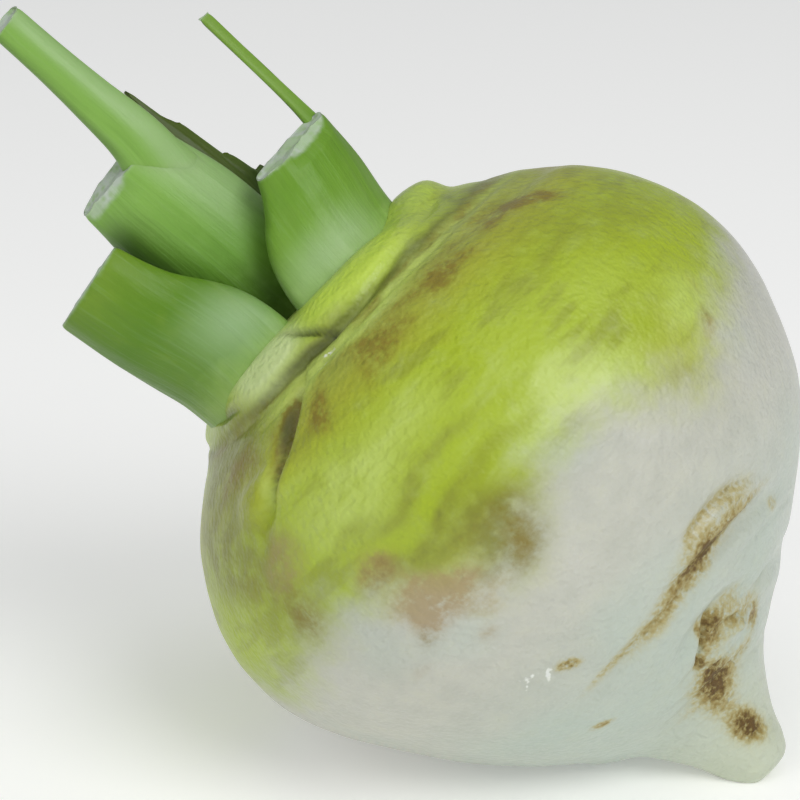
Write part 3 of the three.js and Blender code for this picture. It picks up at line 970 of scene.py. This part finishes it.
    # Painted shade in the leaf-scar crevices, the groove round the shoulder and the crown's dark left corner
    crease_shade: tuple[Patch, ...] = (
        Patch(-11.5, 31.9, 2.4, 0.6, 0.75, -0.75),
        Patch(-29.6, 25.4, 2.4, 0.75, 0.8, 0.62),
        Patch(-35.5, 21.8, 2.2, 0.35, 0.6, 1.0),
        Patch(-34, 29.9, 4, 0.5, 0.35),
        Patch(-19, 30.1, 3.6, 0.55, 0.6),
        Patch(-9.5, 29.9, 3.2, 0.55, 0.65),
        Patch(2.5, 30, 4, 0.5, 0.5),
        Patch(13, 30, 4, 0.45, 0.4),
        Patch(26, 30.2, 5, 0.45, 0.3),
        Patch(-56, 32, 3.6, 0.8, 0.6, -0.2),
        Patch(58, 31.8, 2.2, 0.4, 0.35, 0.3),
    )

    # Brown hairlines, partly painted shade in the creases, run along this many of the folds and wrinkles,
    # near this many of the cork patches, counted from the first of each
    hairline_folds: int = 7
    hairline_wrinkles: int = 17
    hairline_cork: int = 25
    hairline_width: float = 0.45
    # How far each colour follows the wander of the skin's markings
    wanders: tuple[tuple[str, float], ...] = (
        ("olive", 1.0),
        ("pale", 1.0),
        ("pad", 0.2),
        ("lime", 0.2),
        ("stain", 0.7),
        ("pink", 0.8),
        ("cork_and_fold_shade", 0.35),
        ("crease_shade", 0.15),
        ("scar_and_highlight", 0.2),
    )
    # The wander of the markings up and down, the same round the axis, and the skin's own unevenness
    wander_up: Layers = ((1.3, 7, 3), (0.6, 2.6, 4))
    wander_round: Layers = ((1.5, 6, 5), (0.7, 2.2, 6))
    skin_swells: Layers = ((0.22, 11, 1), (0.07, 3.4, 2))
    # The brownish line round the shoulder: its height and half height in mm
    shoulder_line: float = 29.7
    shoulder_line_half: float = 0.55

    def centre_x(self, height: Numbers) -> Numbers:
        """Give the sideways wander of the centre line.

        Args:
            height: heights in mm.

        Returns:
            How far the centre lies towards +X.
        """
        tail = self.tail_bend * smooth_step(-height, self.tail_bend_start, self.tip_depth) ** 0.7
        crown = self.crown_lean * smooth_step(height, self.crown_lean_start, self.crown_height + 2)
        lower = np.exp(-(((height - self.lower_sway_height) / self.lower_sway_half) ** 2))
        return tail + crown + self.lower_sway * lower

    def outline_at(self, t: Numbers) -> tuple[Numbers, Numbers, Numbers, Numbers]:
        """Follow the outline by its length.

        Args:
            t: places from 0, the tip, to 1, the crown.

        Returns:
            Radius, height and the tangent's two parts at each place.
        """
        radii = [r for r, _ in self.outline]
        heights = [h for _, h in self.outline]
        fine = np.linspace(0, 1, 4401)
        radius = along(radii, fine)
        height = along(heights, fine)
        length = np.concatenate([[0], np.cumsum(np.hypot(np.diff(radius), np.diff(height)))])
        spot = np.interp(t, length / length[-1], fine)
        step = 1e-4
        ahead, behind = np.minimum(spot + step, 1), np.maximum(spot - step, 0)
        run = along(radii, ahead) - along(radii, behind)
        rise = along(heights, ahead) - along(heights, behind)
        size = np.hypot(run, rise)
        return along(radii, spot), along(heights, spot), run / size, rise / size

    def relief(self, angle: Numbers, height: Numbers, radius: Numbers) -> Numbers:
        """Give how far the skin stands out from the plain outline.

        Args:
            angle: angles round the axis in degrees, 0 at the front.
            height: heights in mm.
            radius: radii in mm.

        Returns:
            The lift in mm.
        """
        lift = np.zeros_like(angle)
        for swelling in self.swellings:
            across = angle_between(swelling.angle, angle) / swelling.half_angle
            up = (height - swelling.height) / swelling.half_height
            lift += swelling.lift * np.exp(-(across**4) - up**4)
        for fold in (*self.folds, *self.wrinkles):
            fade, above = fold.reach(angle, height)
            lift -= fold.depth * fade * np.exp(-((above / fold.width) ** 2))
        lift = lift * np.where(height > 0, smooth_step(radius, 5, 14), 1)
        for pad in self.crown_pads:
            across = angle_between(pad.angle, angle) / pad.half_angle
            out = (radius - pad.radius) / pad.half_radius
            lift += np.where(height > 0, pad.lift * np.exp(-(across**4) - out**4), 0)
        return lift

    def fields(self, angle: Numbers, height: Numbers, radius: Numbers, points: Numbers) -> dict[str, Numbers]:
        """Work out where each colour lies on the skin.

        Args:
            angle: angles in degrees.
            height: heights in mm.
            radius: radii in mm.
            points: upright points in mm.

        Returns:
            A value from 0 to about 1 at each point for each colour.
        """
        sway = uneven(points, self.wander_up)
        # Close to the axis the radius is held at 6 mm, or the wander would go right round
        swing = np.degrees(uneven(points, self.wander_round) / np.maximum(radius, 6))
        edge_angles, edge_heights = zip(*self.green_edge)
        edge = np.interp(angle_between(0, angle + swing), edge_angles, edge_heights)
        result = {"green": np.clip((height + sway * 1.2 - edge + 6) / 12.5, 0, 1)}
        for name, wander in self.wanders:
            total = np.zeros_like(angle)
            for patch in getattr(self, name):
                total += patch.weight(angle + swing * wander, height + sway * wander, radius)
            result[name] = total
        # Brown lines along the folds, partly painted shade in the creases
        hairlines = np.zeros_like(angle)
        broken = 0.5 + 0.5 * soft_noise(points / 3, 9)
        for fold in (*self.folds[: self.hairline_folds], *self.wrinkles[: self.hairline_wrinkles]):
            fade, above = fold.reach(angle, height)
            hairlines += fade * np.exp(-((above / self.hairline_width) ** 2)) * broken
        near = sum(p.weight(angle, height, radius * 0.5) for p in self.cork_and_fold_shade[: self.hairline_cork])
        result["cork_and_fold_shade"] = result["cork_and_fold_shade"] + np.minimum(hairlines, 1) * np.clip(0.08 + near, 0, 0.6) * 0.3
        above = (height + 0.3 * sway - self.shoulder_line) / self.shoulder_line_half
        shoulder = np.exp(-(above**2)) * (0.5 + 0.4 * soft_noise(points / 4, 12))
        result["stain"] = result["stain"] + np.where(radius > 18, shoulder, 0)
        return result

    def skin_faces(self) -> list[tuple[int, ...]]:
        """List the faces between the rows, with a fan at the tip and one at the crown.

        Returns:
            Rows of point numbers; the tip's and the crown's own points come last.
        """
        tip, crown = self.rows * self.columns, self.rows * self.columns + 1
        faces = []
        for j in range(self.columns):
            after = (j + 1) % self.columns
            for i in range(self.rows - 1):
                low, next_low = i * self.columns + j, i * self.columns + after
                faces.append((low, next_low, next_low + self.columns, low + self.columns))
            faces.append((tip, after, j))
            last = (self.rows - 1) * self.columns
            faces.append((crown, last + j, last + after))
        return faces

    def build(self) -> bpy.types.Object:
        """Make the root.

        Returns:
            The piece.
        """
        row = np.linspace(0, 1, self.rows + 2)[1:-1]
        t = along(self.row_stops, row)[:, None]
        angle = (np.arange(self.columns) * 360 / self.columns)[None, :]
        t, angle = np.broadcast_arrays(t, angle)
        radius, height, run, rise = self.outline_at(t)
        turn = np.radians(angle)
        ball = np.stack([radius * np.sin(turn), -radius * np.cos(turn), height], axis=-1)
        swells = uneven(ball, self.skin_swells)
        lift = self.relief(angle, height, radius) + swells * smooth_step(radius, 2, 9)
        wide = np.maximum(0.02, radius + rise * lift)
        x = self.centre_x(height) + wide * np.sin(turn)
        points = np.stack([x, -wide * np.cos(turn), height - run * lift], axis=-1)

        ends = np.array([points[0].mean(axis=0), points[-1].mean(axis=0)])
        ends[:, 2] = (-self.tip_depth, self.crown_height)
        fields = self.fields(angle, height, radius, points)
        flat = {name: np.concatenate([v.ravel(), [v[0].mean(), v[-1].mean()]]) for name, v in fields.items()}
        every = np.concatenate([points.reshape(-1, 3), ends])
        return make_piece("root_skin", every, self.skin_faces(), flat, "turnip_root", TurnipSkin().make())


# The leaf stalks


ROSETTE_X = -4.8  # how far in mm the rosette's middle stands off the root's axis


def facing(angle: float, rise: float = 0) -> Vector:
    """Give a direction away from the rosette's middle.

    Args:
        angle: degrees round the rosette, 0 at the front.
        rise: how much it points up.

    Returns:
        The direction.
    """
    return Vector((math.sin(math.radians(angle)), -math.cos(math.radians(angle)), rise)).normalized()


def on_rosette(angle: float, radius: float, height: float) -> tuple[float, float, float]:
    """Give a point on one of the rosette's rings.

    Args:
        angle: degrees round the rosette, 0 at the front.
        radius: the ring's radius in mm.
        height: its height in mm.

    Returns:
        The point.
    """
    away = facing(angle) * radius
    return (away.x + ROSETTE_X, away.y, height)


class CutEnd(Enum):
    """How a stalk's end was left."""

    SQUARE = "cut square"
    BEVELLED = "cut with a bevel on its back"
    TORN = "torn"


@dataclass
class Stalk:
    """One leaf stalk, or a part of one: a thick crescent swept from the crown to its end.

    outward is the way its back faces at each end, width its whole breadth, outer and inner its thickness
    before and behind its middle line, curl the radius of its section's bend, and side and back slope its cut.
    """

    path: Sequence[tuple[float, float, float]]
    outward: tuple[Vector, Vector]
    width: Sequence[float]
    outer: Sequence[float]
    inner: Sequence[float]
    curl: Sequence[float]
    side: float = 0
    back: float = 0
    end: CutEnd = CutEnd.SQUARE
    # How far the torn end stands up or falls short in mm, by place across from -1 to 1
    tear: tuple[tuple[float, float], ...] = ()
    sides: int = 112
    rings: int = 96
    cap_rings: int = 10
    # Points on the middle line from one of its given points to the next
    path_steps: int = 121
    # How much closer the rings stand towards the end, and how far the cap closes
    ring_crowding: float = 1.25
    cap_reach: float = 0.97
    # The rounded rim of the end: how far it narrows, and over what length, in mm
    rim_narrowing: float = 0.28
    rim_length: float = 0.35
    # The ribs: their height and spacing in mm, and the height of the skin's own unevenness
    ridge: float = 0.05
    rib_spacing: float = 2.7
    uneven_height: float = 0.12
    # How far the cut sinks in its middle, and how rough it is, in mm
    cut_sink: float = 0.35
    cut_roughness: float = 0.16
    # The shade on the side that faces the rosette's middle
    inner_shade: float = 0.35
    # Shade and light bands by place across the back, from -1 to 1, and by height in mm
    shade: Callable[[Numbers, Numbers], Numbers] | None = None
    light: Callable[[Numbers, Numbers], Numbers] | None = None
    bevel: Callable[[Numbers], Numbers] | None = None
    bevel_length: float = 3.0
    seed: int = 1

    def smooth_path(self, t: Numbers) -> tuple[Numbers, Numbers]:
        """Follow the middle line by its length.

        Args:
            t: places from 0 to 1.

        Returns:
            The points and the unit tangents there.
        """
        given = np.array(self.path, dtype=float)
        posts = np.concatenate([[2 * given[0] - given[1]], given, [2 * given[-1] - given[-2]]])
        dense = []
        for k in range(len(given) - 1):
            p0, p1, p2, p3 = posts[k : k + 4]
            d0, d1, d2 = (math.sqrt(np.linalg.norm(b - a)) for a, b in ((p0, p1), (p1, p2), (p2, p3)))
            m1 = ((p1 - p0) / d0 - (p2 - p0) / (d0 + d1) + (p2 - p1) / d1) * d1
            m2 = ((p2 - p1) / d1 - (p3 - p1) / (d1 + d2) + (p3 - p2) / d2) * d1
            w = np.linspace(0, 1, self.path_steps)[: None if k == len(given) - 2 else -1, None]
            square = (3 * (p2 - p1) - 2 * m1 - m2) * w**2
            cube = (2 * (p1 - p2) + m1 + m2) * w**3
            dense.append(p1 + m1 * w + square + cube)
        line = np.concatenate(dense)
        length = np.concatenate([[0], np.cumsum(np.linalg.norm(np.diff(line, axis=0), axis=1))])
        slope = np.gradient(line, length, axis=0)
        spot = t * length[-1]
        points = np.stack([np.interp(spot, length, line[:, k]) for k in range(3)], axis=-1)
        tangents = np.stack([np.interp(spot, length, slope[:, k]) for k in range(3)], axis=-1)
        return points, tangents / np.linalg.norm(tangents, axis=-1, keepdims=True)

    def skin_faces(self, count: int) -> list[tuple[int, ...]]:
        """List the faces between the rings, with rungs across both ends.

        Args:
            count: how many rings there are.

        Returns:
            Rows of point numbers.
        """
        sides = self.sides
        faces: list[tuple[int, ...]] = []
        for i in range(count - 1):
            for j in range(sides):
                low, after = i * sides + j, i * sides + (j + 1) % sides
                faces.append((low, after, after + sides, low + sides))
        last = (count - 1) * sides
        for base, flip in ((0, True), (last, False)):
            rungs = [(base, base + 1, base + sides - 1)]
            for j in range(1, sides // 2 - 1):
                rungs.append((base + j, base + j + 1, base + sides - j - 1, base + sides - j))
            rungs.append((base + sides // 2 - 1, base + sides // 2, base + sides // 2 + 1))
            faces.extend(rung[::-1] if flip else rung for rung in rungs)
        return faces

    def shell(self) -> tuple[Numbers, list[tuple[int, ...]], dict[str, Numbers]]:
        """Make the stalk's closed skin.

        Returns:
            Its upright points, its faces and its fields.
        """
        t = 1 - (1 - np.linspace(0, 1, self.rings)) ** self.ring_crowding
        inset = np.zeros_like(t)
        caps = np.linspace(0, 1, self.cap_rings)[1:] * self.cap_reach
        t = np.concatenate([t, np.ones(self.cap_rings - 1)])
        inset = np.concatenate([inset, caps])[:, None]
        t = t[:, None]
        turn = (np.arange(self.sides) * -2 * math.pi / self.sides)[None, :]

        centre, tangent = self.smooth_path(t[:, 0])
        start, finish = (np.array(v) for v in self.outward)
        outward = start * (1 - t) + finish * t
        outward = outward - tangent * np.sum(outward * tangent, axis=1, keepdims=True)
        outward /= np.linalg.norm(outward, axis=1, keepdims=True)
        across = np.cross(tangent, outward)

        length = np.linalg.norm(np.diff(centre[: self.rings], axis=0), axis=1).sum()
        to_end = (1 - t) * length
        rim = np.where(inset > 0, 0, np.exp(-to_end / self.rim_length)) * self.rim_narrowing
        reach = np.cos(turn) * (along(self.width, t) / 2 - rim)
        is_back = np.sin(turn) > 0
        thick = np.where(is_back, along(self.outer, t), along(self.inner, t)) - rim
        place = np.cos(turn) + 0 * t
        if self.end is CutEnd.BEVELLED:
            cut_in = self.bevel(place) * np.clip(1 - to_end / self.bevel_length, 0, 1)
            thick = np.where(is_back, thick * (1 - 0.5 * cut_in), thick)
        else:
            cut_in = np.zeros_like(reach)
        rise = np.sign(np.sin(turn)) * thick * np.abs(np.sin(turn)) ** 0.8
        waves = np.cos(reach * 2 * math.pi / self.rib_spacing + self.seed)
        ribs = self.ridge * waves * smooth_step(1 - np.abs(place), 0.03, 0.3)
        spot = np.stack([reach / 3, t * length / 16 + 0 * reach, 0 * reach + self.seed], axis=-1)
        ribs = ribs + self.uneven_height * soft_noise(spot, 21)
        rise = rise + np.where(is_back, ribs, -ribs) * (1 - 0.6 * cut_in)
        rise = rise * (1 - inset)
        reach = reach * (1 - 0.1 * inset)
        curl = along(self.curl, t)
        bend = reach / curl
        sideways = (curl + rise) * np.sin(bend)
        depth = (curl + rise) * np.cos(bend) - curl
        torn = np.zeros_like(reach)
        if self.tear:
            torn = np.interp(place, [u for u, _ in self.tear], [shift for _, shift in self.tear])
            spot = np.stack([reach * 1.6, 0 * reach, 0 * reach + self.seed], axis=-1)
            torn = torn + 0.3 * soft_noise(spot, 31) + 0.2 * soft_noise(spot * 2.3, 32)
        slope = smooth_step(t, 0.4, 1) * (sideways * self.side + rise * self.back + torn)
        if self.end is not CutEnd.TORN:
            slope = slope - self.cut_sink * smooth_step(inset, 0.1, 0.9)
            rough = soft_noise(np.stack([sideways / 1.1, depth / 1.1, 0 * depth + self.seed], axis=-1), 41)
            slope = slope + self.cut_roughness * rough * (inset > 0)
        points = (
            centre[:, None]
            + across[:, None] * sideways[..., None]
            + outward[:, None] * depth[..., None]
            + tangent[:, None] * slope[..., None]
        )

        height = points[..., 2]
        cut = np.where(inset > 0, 1.0, 0.55 * np.exp(-to_end / 0.5))
        cut = cut + 1.1 * cut_in * smooth_step(-to_end, -2.4, -0.4)
        if self.end is CutEnd.TORN:
            cut = cut * 0
        long_way = np.stack([reach + 100 * is_back, t * length + 0 * reach, 0 * reach + self.seed], axis=-1)
        shade = self.shade(place, height) if self.shade else np.zeros_like(height)
        light = self.light(place, height) if self.light else np.zeros_like(height)
        shade = np.where(is_back, shade, self.inner_shade)
        fields = {
            "lengthwise": long_way.reshape(-1, 3),
            "cut": np.clip(cut, 0, 1).ravel(),
            "shade": np.clip(shade * (1 - np.clip(cut, 0, 1)), 0, 1).ravel(),
            "light": np.clip(light, 0, 1).ravel(),
        }
        return points.reshape(-1, 3), self.skin_faces(len(t)), fields


@dataclass
class StalkPiece:
    """One separate stalk of the rosette, with any part that grows on from it."""

    name: str
    node_name: str
    parts: Sequence[Stalk]
    finish: StalkSkin

    def build(self) -> bpy.types.Object:
        """Make the stalk.

        Returns:
            The piece.
        """
        points, faces, fields = [], [], {}
        start = 0
        for part in self.parts:
            more_points, more_faces, more_fields = part.shell()
            points.append(more_points)
            faces.extend(tuple(k + start for k in face) for face in more_faces)
            for key, values in more_fields.items():
                fields.setdefault(key, []).append(values)
            start += len(more_points)
        joined = {key: np.concatenate(values) for key, values in fields.items()}
        every = np.concatenate(points)
        return make_piece(self.name, every, faces, joined, self.node_name, self.finish.make())


def band(low: float, high: float, soft: float) -> Callable[[Numbers], Numbers]:
    """Give a soft-edged band across a stalk's back.

    Args:
        low: where it starts, from -1 to 1.
        high: where it ends.
        soft: how wide its edges are.

    Returns:
        A function of the place across that is 1 inside the band.
    """
    return lambda u: smooth_step(u, low - soft, low + soft) * (1 - smooth_step(u, high - soft, high + soft))


@dataclass
class Rosette:
    """The ring of cut leaf stalks on the crown."""

    radius: float = 17

    def pieces(self) -> list[StalkPiece]:
        """List the stalks.

        Returns:
            Each stalk with its sizes and its finish.
        """
        front_left = Stalk(
            path=[(-17.2, -11, 29), (-17.8, -12.4, 39), (-20.9, -14.2, 49), (-22.7, -15, 57.3)],
            outward=(facing(-46), facing(-30, 0.1)),
            width=[24.5, 23, 17.5, 14.5],
            outer=[3.6, 3.8, 3.6, 3.4],
            inner=[2.6, 3, 3.2, 3],
            curl=[17, 15, 12, 11],
            side=-0.02,
            back=-0.03,
            shade=lambda u, h: 0.4 * band(-1.2, -0.3, 0.25)(u),
            light=lambda u, h: 0.6 * band(0.35, 0.95, 0.35)(u) * band(36, 44, 4)(h),
            seed=1,
        )
        front_right = Stalk(
            path=[(6.8, -11.2, 29), (7.4, -12.2, 38.5), (9.2, -13.2, 45.5), (10.7, -14, 51.7)],
            outward=(facing(42), facing(32, 0.1)),
            width=[25.5, 24.6, 19.6, 14],
            outer=[3.6, 3.9, 3.6, 3.2],
            inner=[2.6, 2.8, 2.8, 2.6],
            curl=[17, 15, 13, 12],
            side=0.24,
            back=-0.16,
            end=CutEnd.BEVELLED,
            bevel=band(-0.25, 0.62, 0.2),
            bevel_length=2.4,
            light=lambda u, h: 0.7 * band(-0.85, 0.1, 0.3)(u) * band(35, 40.5, 3)(h),
            shade=lambda u, h: 0.15 * band(0.75, 1.3, 0.15)(u) + 0.5 * band(-1.3, -0.93, 0.06)(u),
            seed=2,
        )
        rind_sliver = Stalk(
            path=[(14.6, -8.6, 46), (15, -8.8, 54), (14.6, -9, 72.8)],
            outward=(facing(38), facing(26)),
            width=[3.6, 2.2, 1.9, 1.8],
            outer=[0.7, 0.6, 0.5, 0.5],
            inner=[0.7, 0.6, 0.5, 0.5],
            curl=[9, 9, 9, 9],
            sides=40,
            rings=70,
            seed=3,
        )
        centre = Stalk(
            path=[(-5.6, -5, 30), (-6.2, -7.8, 44), (-7.3, -11, 56), (-8.3, -12.5, 66)],
            outward=(facing(-4), facing(-2)),
            width=[15, 18.5, 19.5, 16],
            outer=[3.4, 3.8, 3.6, 3.2],
            inner=[2.4, 2.6, 2.6, 2.4],
            curl=[12, 12, 13, 14],
            side=0.04,
            back=-0.35,
            end=CutEnd.BEVELLED,
            bevel=band(-0.85, -0.1, 0.15),
            bevel_length=3.6,
            shade=lambda u, h: (
                0.9 * band(-1.2, -0.45, 0.3)(u) * smooth_step(h, 64, 57) + 0.5 * smooth_step(h, 47, 38)
            ),
            light=lambda u, h: 0.6 * band(0.3, 0.95, 0.25)(u) * smooth_step(h, 44, 54),
            seed=4,
        )
        tongue = Stalk(
            path=[(-5, -10.4, 55), (-4.4, -12, 61), (-3.7, -13.7, 67), (-4.1, -15.2, 75), (-5, -17, 90.2)],
            outward=(facing(6), facing(4)),
            width=[13, 8.6, 6.4, 5.3, 5],
            outer=[2.6, 2.4, 2.3, 2.1, 2],
            inner=[1.8, 1.7, 1.6, 1.5, 1.4],
            curl=[13, 11, 8, 6, 6],
            side=0.1,
            back=-0.4,
            sides=64,
            light=lambda u, h: 0.6 * band(0.1, 0.9, 0.3)(u),
            shade=lambda u, h: 0.45 * band(-1.2, -0.7, 0.2)(u) * smooth_step(h, 62, 68),
            seed=5,
        )
        sheath = Stalk(
            path=[(-3.2, 0.5, 32), (-0.6, -1.5, 46), (-0.4, -3.8, 58), (-1.4, -5, 67)],
            outward=(facing(12), facing(20)),
            width=[12, 14, 14.5, 15],
            outer=[1.2, 1.0, 0.7, 0.45],
            inner=[0.9, 0.7, 0.5, 0.35],
            curl=[8, 9, 12, 14],
            end=CutEnd.TORN,
            tear=(
                (-1, -5), (-0.5, -2), (0, 3), (0.26, 4.5), (0.28, 6.4), (0.3, 5.6), (0.315, 4.6),
                (0.335, 0.4), (0.43, -1.4), (0.49, -1.7), (0.505, -8.6), (0.54, -9.2), (0.64, -9.9),
                (0.66, -12.4), (0.73, -14.4), (1, -14.6),
            ),
            sides=200,
            seed=6,
        )
        back_left = Stalk(
            path=[
                on_rosette(-132, self.radius - 1, 29),
                on_rosette(-132, self.radius, 40),
                on_rosette(-131, self.radius + 3, 52),
            ],
            outward=(facing(-132), facing(-130, 0.1)),
            width=[27, 25.5, 21, 16],
            outer=[3.4, 3.6, 3.4, 3.1],
            inner=[2.4, 2.8, 2.8, 2.6],
            curl=[17, 15, 12, 11],
            side=0.12,
            back=-0.2,
            light=lambda u, h: 0.6 * band(-0.4, 0.5, 0.35)(u),
            seed=7,
        )
        back_right = Stalk(
            path=[
                on_rosette(132, self.radius - 1, 29),
                on_rosette(132, self.radius, 38),
                on_rosette(138, self.radius + 2, 47),
            ],
            outward=(facing(132), facing(140, 0.1)),
            width=[27, 25.5, 20.5, 16],
            outer=[3.4, 3.6, 3.3, 3],
            inner=[2.4, 2.8, 2.6, 2.4],
            curl=[17, 15, 12, 11],
            side=-0.1,
            back=0.1,
            light=lambda u, h: 0.6 * band(-0.5, 0.4, 0.35)(u),
            seed=8,
        )
        heart = Stalk(
            path=[(-4.4, 6.8, 32), (-4.2, 7.4, 39), (-4.6, 8.2, 45)],
            outward=(facing(175), facing(170)),
            width=[11, 9.5, 8.5, 8],
            outer=[2.6, 2.4, 2.2, 2],
            inner=[1.8, 1.7, 1.6, 1.5],
            curl=[9, 9, 9, 9],
            side=0.1,
            back=0.15,
            sides=72,
            seed=9,
        )
        return [
            StalkPiece(
                "front_left_stalk",
                "stalk_front_left",
                [front_left],
                StalkSkin("front_left_stalk_cut", low="678f2e", mid="598318", top="719226", rib_and_highlight="a4c196"),
            ),
            StalkPiece(
                "front_right_stalk",
                "stalk_front_right",
                [front_right, rind_sliver],
                StalkSkin("front_right_stalk_cut", foot="a0bf70", low="79a23a", mid="679324", top="749836"),
            ),
            StalkPiece(
                "centre_stalk",
                "stalk_centre",
                [centre, tongue],
                StalkSkin("centre_stalk_cut", low="587f20", mid="6d9c38", top="80ab4c", shade="35570f"),
            ),
            StalkPiece(
                "torn_leaf_sheath",
                "torn_sheath",
                [sheath],
                # Dark greens as painted shade: the sheath lies in shadow behind the centre stalk
                StalkSkin(
                    "leaf_sheath_torn", low="44601c", mid="3c5514", top="4a5c1a", rib_and_highlight="5d7830", shade="2f4510"
                ),
            ),
            StalkPiece("back_left_stalk", "stalk_back_left", [back_left], StalkSkin("back_left_stalk_cut")),
            StalkPiece(
                "back_right_stalk", "stalk_back_right", [back_right], StalkSkin("back_right_stalk_cut")
            ),
            StalkPiece(
                "crown_heart",
                "heart_stub",
                [heart],
                StalkSkin(
                    "heart_stalk_cut", low="9cba62", mid="a4bf68", top="a9c373", levels=(33, 36, 40, 45)
                ),
            ),
        ]


# The studio


@dataclass
class Studio:
    """The pale floor, the soft lights and the camera at the photograph's angle."""

    azimuth: float = 18.85
    elevation: float = 20.0
    distance: float = 450.0
    aim: tuple[float, float, float] = (-3.43, 0.0, 17.13)
    view_width: float = 110.77
    floor_size: float = 6.0
    floor_roughness: float = 0.9
    floor_glow: float = 0.22
    room_light: float = 0.34
    # Height in metres that the lights are turned to
    light_aim: float = 0.045
    film_width: float = 36.0

    def direction(self, azimuth: float, elevation: float) -> Vector:
        """Give the direction from the turnip to a place around it.

        Args:
            azimuth: degrees round from the front, towards +X.
            elevation: degrees above the floor.

        Returns:
            The unit direction.
        """
        a, e = math.radians(azimuth), math.radians(elevation)
        return Vector((math.sin(a) * math.cos(e), -math.cos(a) * math.cos(e), math.sin(e)))

    def add_light(
        self, name: str, azimuth: float, elevation: float, reach: float, size: float, watts: float
    ) -> None:
        """Hang one soft light and turn it to the turnip.

        Args:
            name: the light's name.
            azimuth: degrees round from the front.
            elevation: degrees above the floor.
            reach: its distance in metres.
            size: its width in metres.
            watts: its power.
        """
        light = bpy.data.lights.new(name, "AREA")
        light.shape = "DISK"
        light.size = size
        light.energy = watts
        holder = bpy.data.objects.new(name, light)
        middle = Vector((0, 0, self.light_aim))
        away = self.direction(azimuth, elevation)
        holder.location = middle + away * reach
        holder.rotation_euler = away.to_track_quat("Z", "Y").to_euler()
        bpy.context.scene.collection.objects.link(holder)

    def floor(self) -> None:
        """Lay the pale floor."""
        half = self.floor_size / 2
        mesh = bpy.data.meshes.new("floor")
        corners = [(-half, -half, 0), (half, -half, 0), (half, half, 0), (-half, half, 0)]
        mesh.from_pydata(corners, [], [(0, 1, 2, 3)])
        paper = bpy.data.materials.new("backdrop_paper_matte")
        paper.use_nodes = True
        shader = paper.node_tree.nodes["Principled BSDF"]
        shader.inputs["Base Color"].default_value = linear("f6f6f4")
        shader.inputs["Roughness"].default_value = self.floor_roughness
        shader.inputs["Emission Color"].default_value = linear("ffffff")
        shader.inputs["Emission Strength"].default_value = self.floor_glow
        mesh.materials.append(paper)
        sheet = bpy.data.objects.new("floor", mesh)
        bpy.context.scene.collection.objects.link(sheet)

    def camera(self) -> None:
        """Set up the camera."""
        data = bpy.data.cameras.new("camera")
        data.lens = self.film_width * self.distance / self.view_width
        data.sensor_width = self.film_width
        data.clip_start = 0.01
        holder = bpy.data.objects.new("camera", data)
        target = (POSE.matrix() @ Vector(self.aim)) * MM
        away = self.direction(self.azimuth, self.elevation)
        holder.location = target + away * self.distance * MM
        holder.rotation_euler = away.to_track_quat("Z", "Y").to_euler()
        bpy.context.scene.collection.objects.link(holder)
        bpy.context.scene.camera = holder

    def build(self) -> None:
        """Make the whole studio."""
        self.floor()
        self.camera()
        self.add_light("key_softbox", azimuth=53.7, elevation=42.2, reach=1.0, size=0.6, watts=4.5)
        self.add_light("front_fill", azimuth=-20, elevation=30, reach=1.4, size=1.2, watts=3.5)
        self.add_light("top_softbox", azimuth=0, elevation=80, reach=1.2, size=0.9, watts=2.3)
        world = bpy.data.worlds.new("room")
        world.use_nodes = True
        background = world.node_tree.nodes["Background"]
        background.inputs["Color"].default_value = linear("f4f6f8")
        background.inputs["Strength"].default_value = self.room_light
        bpy.context.scene.world = world
        bpy.context.scene.view_settings.view_transform = "Standard"


def main() -> None:
    """Build the turnip and its studio."""
    logging.basicConfig(level=logging.INFO, format="%(name)s: %(message)s")
    Root().build()
    for stalk in Rosette().pieces():
        stalk.build()
    Studio().build()


if __name__ == "__main__":
    main()
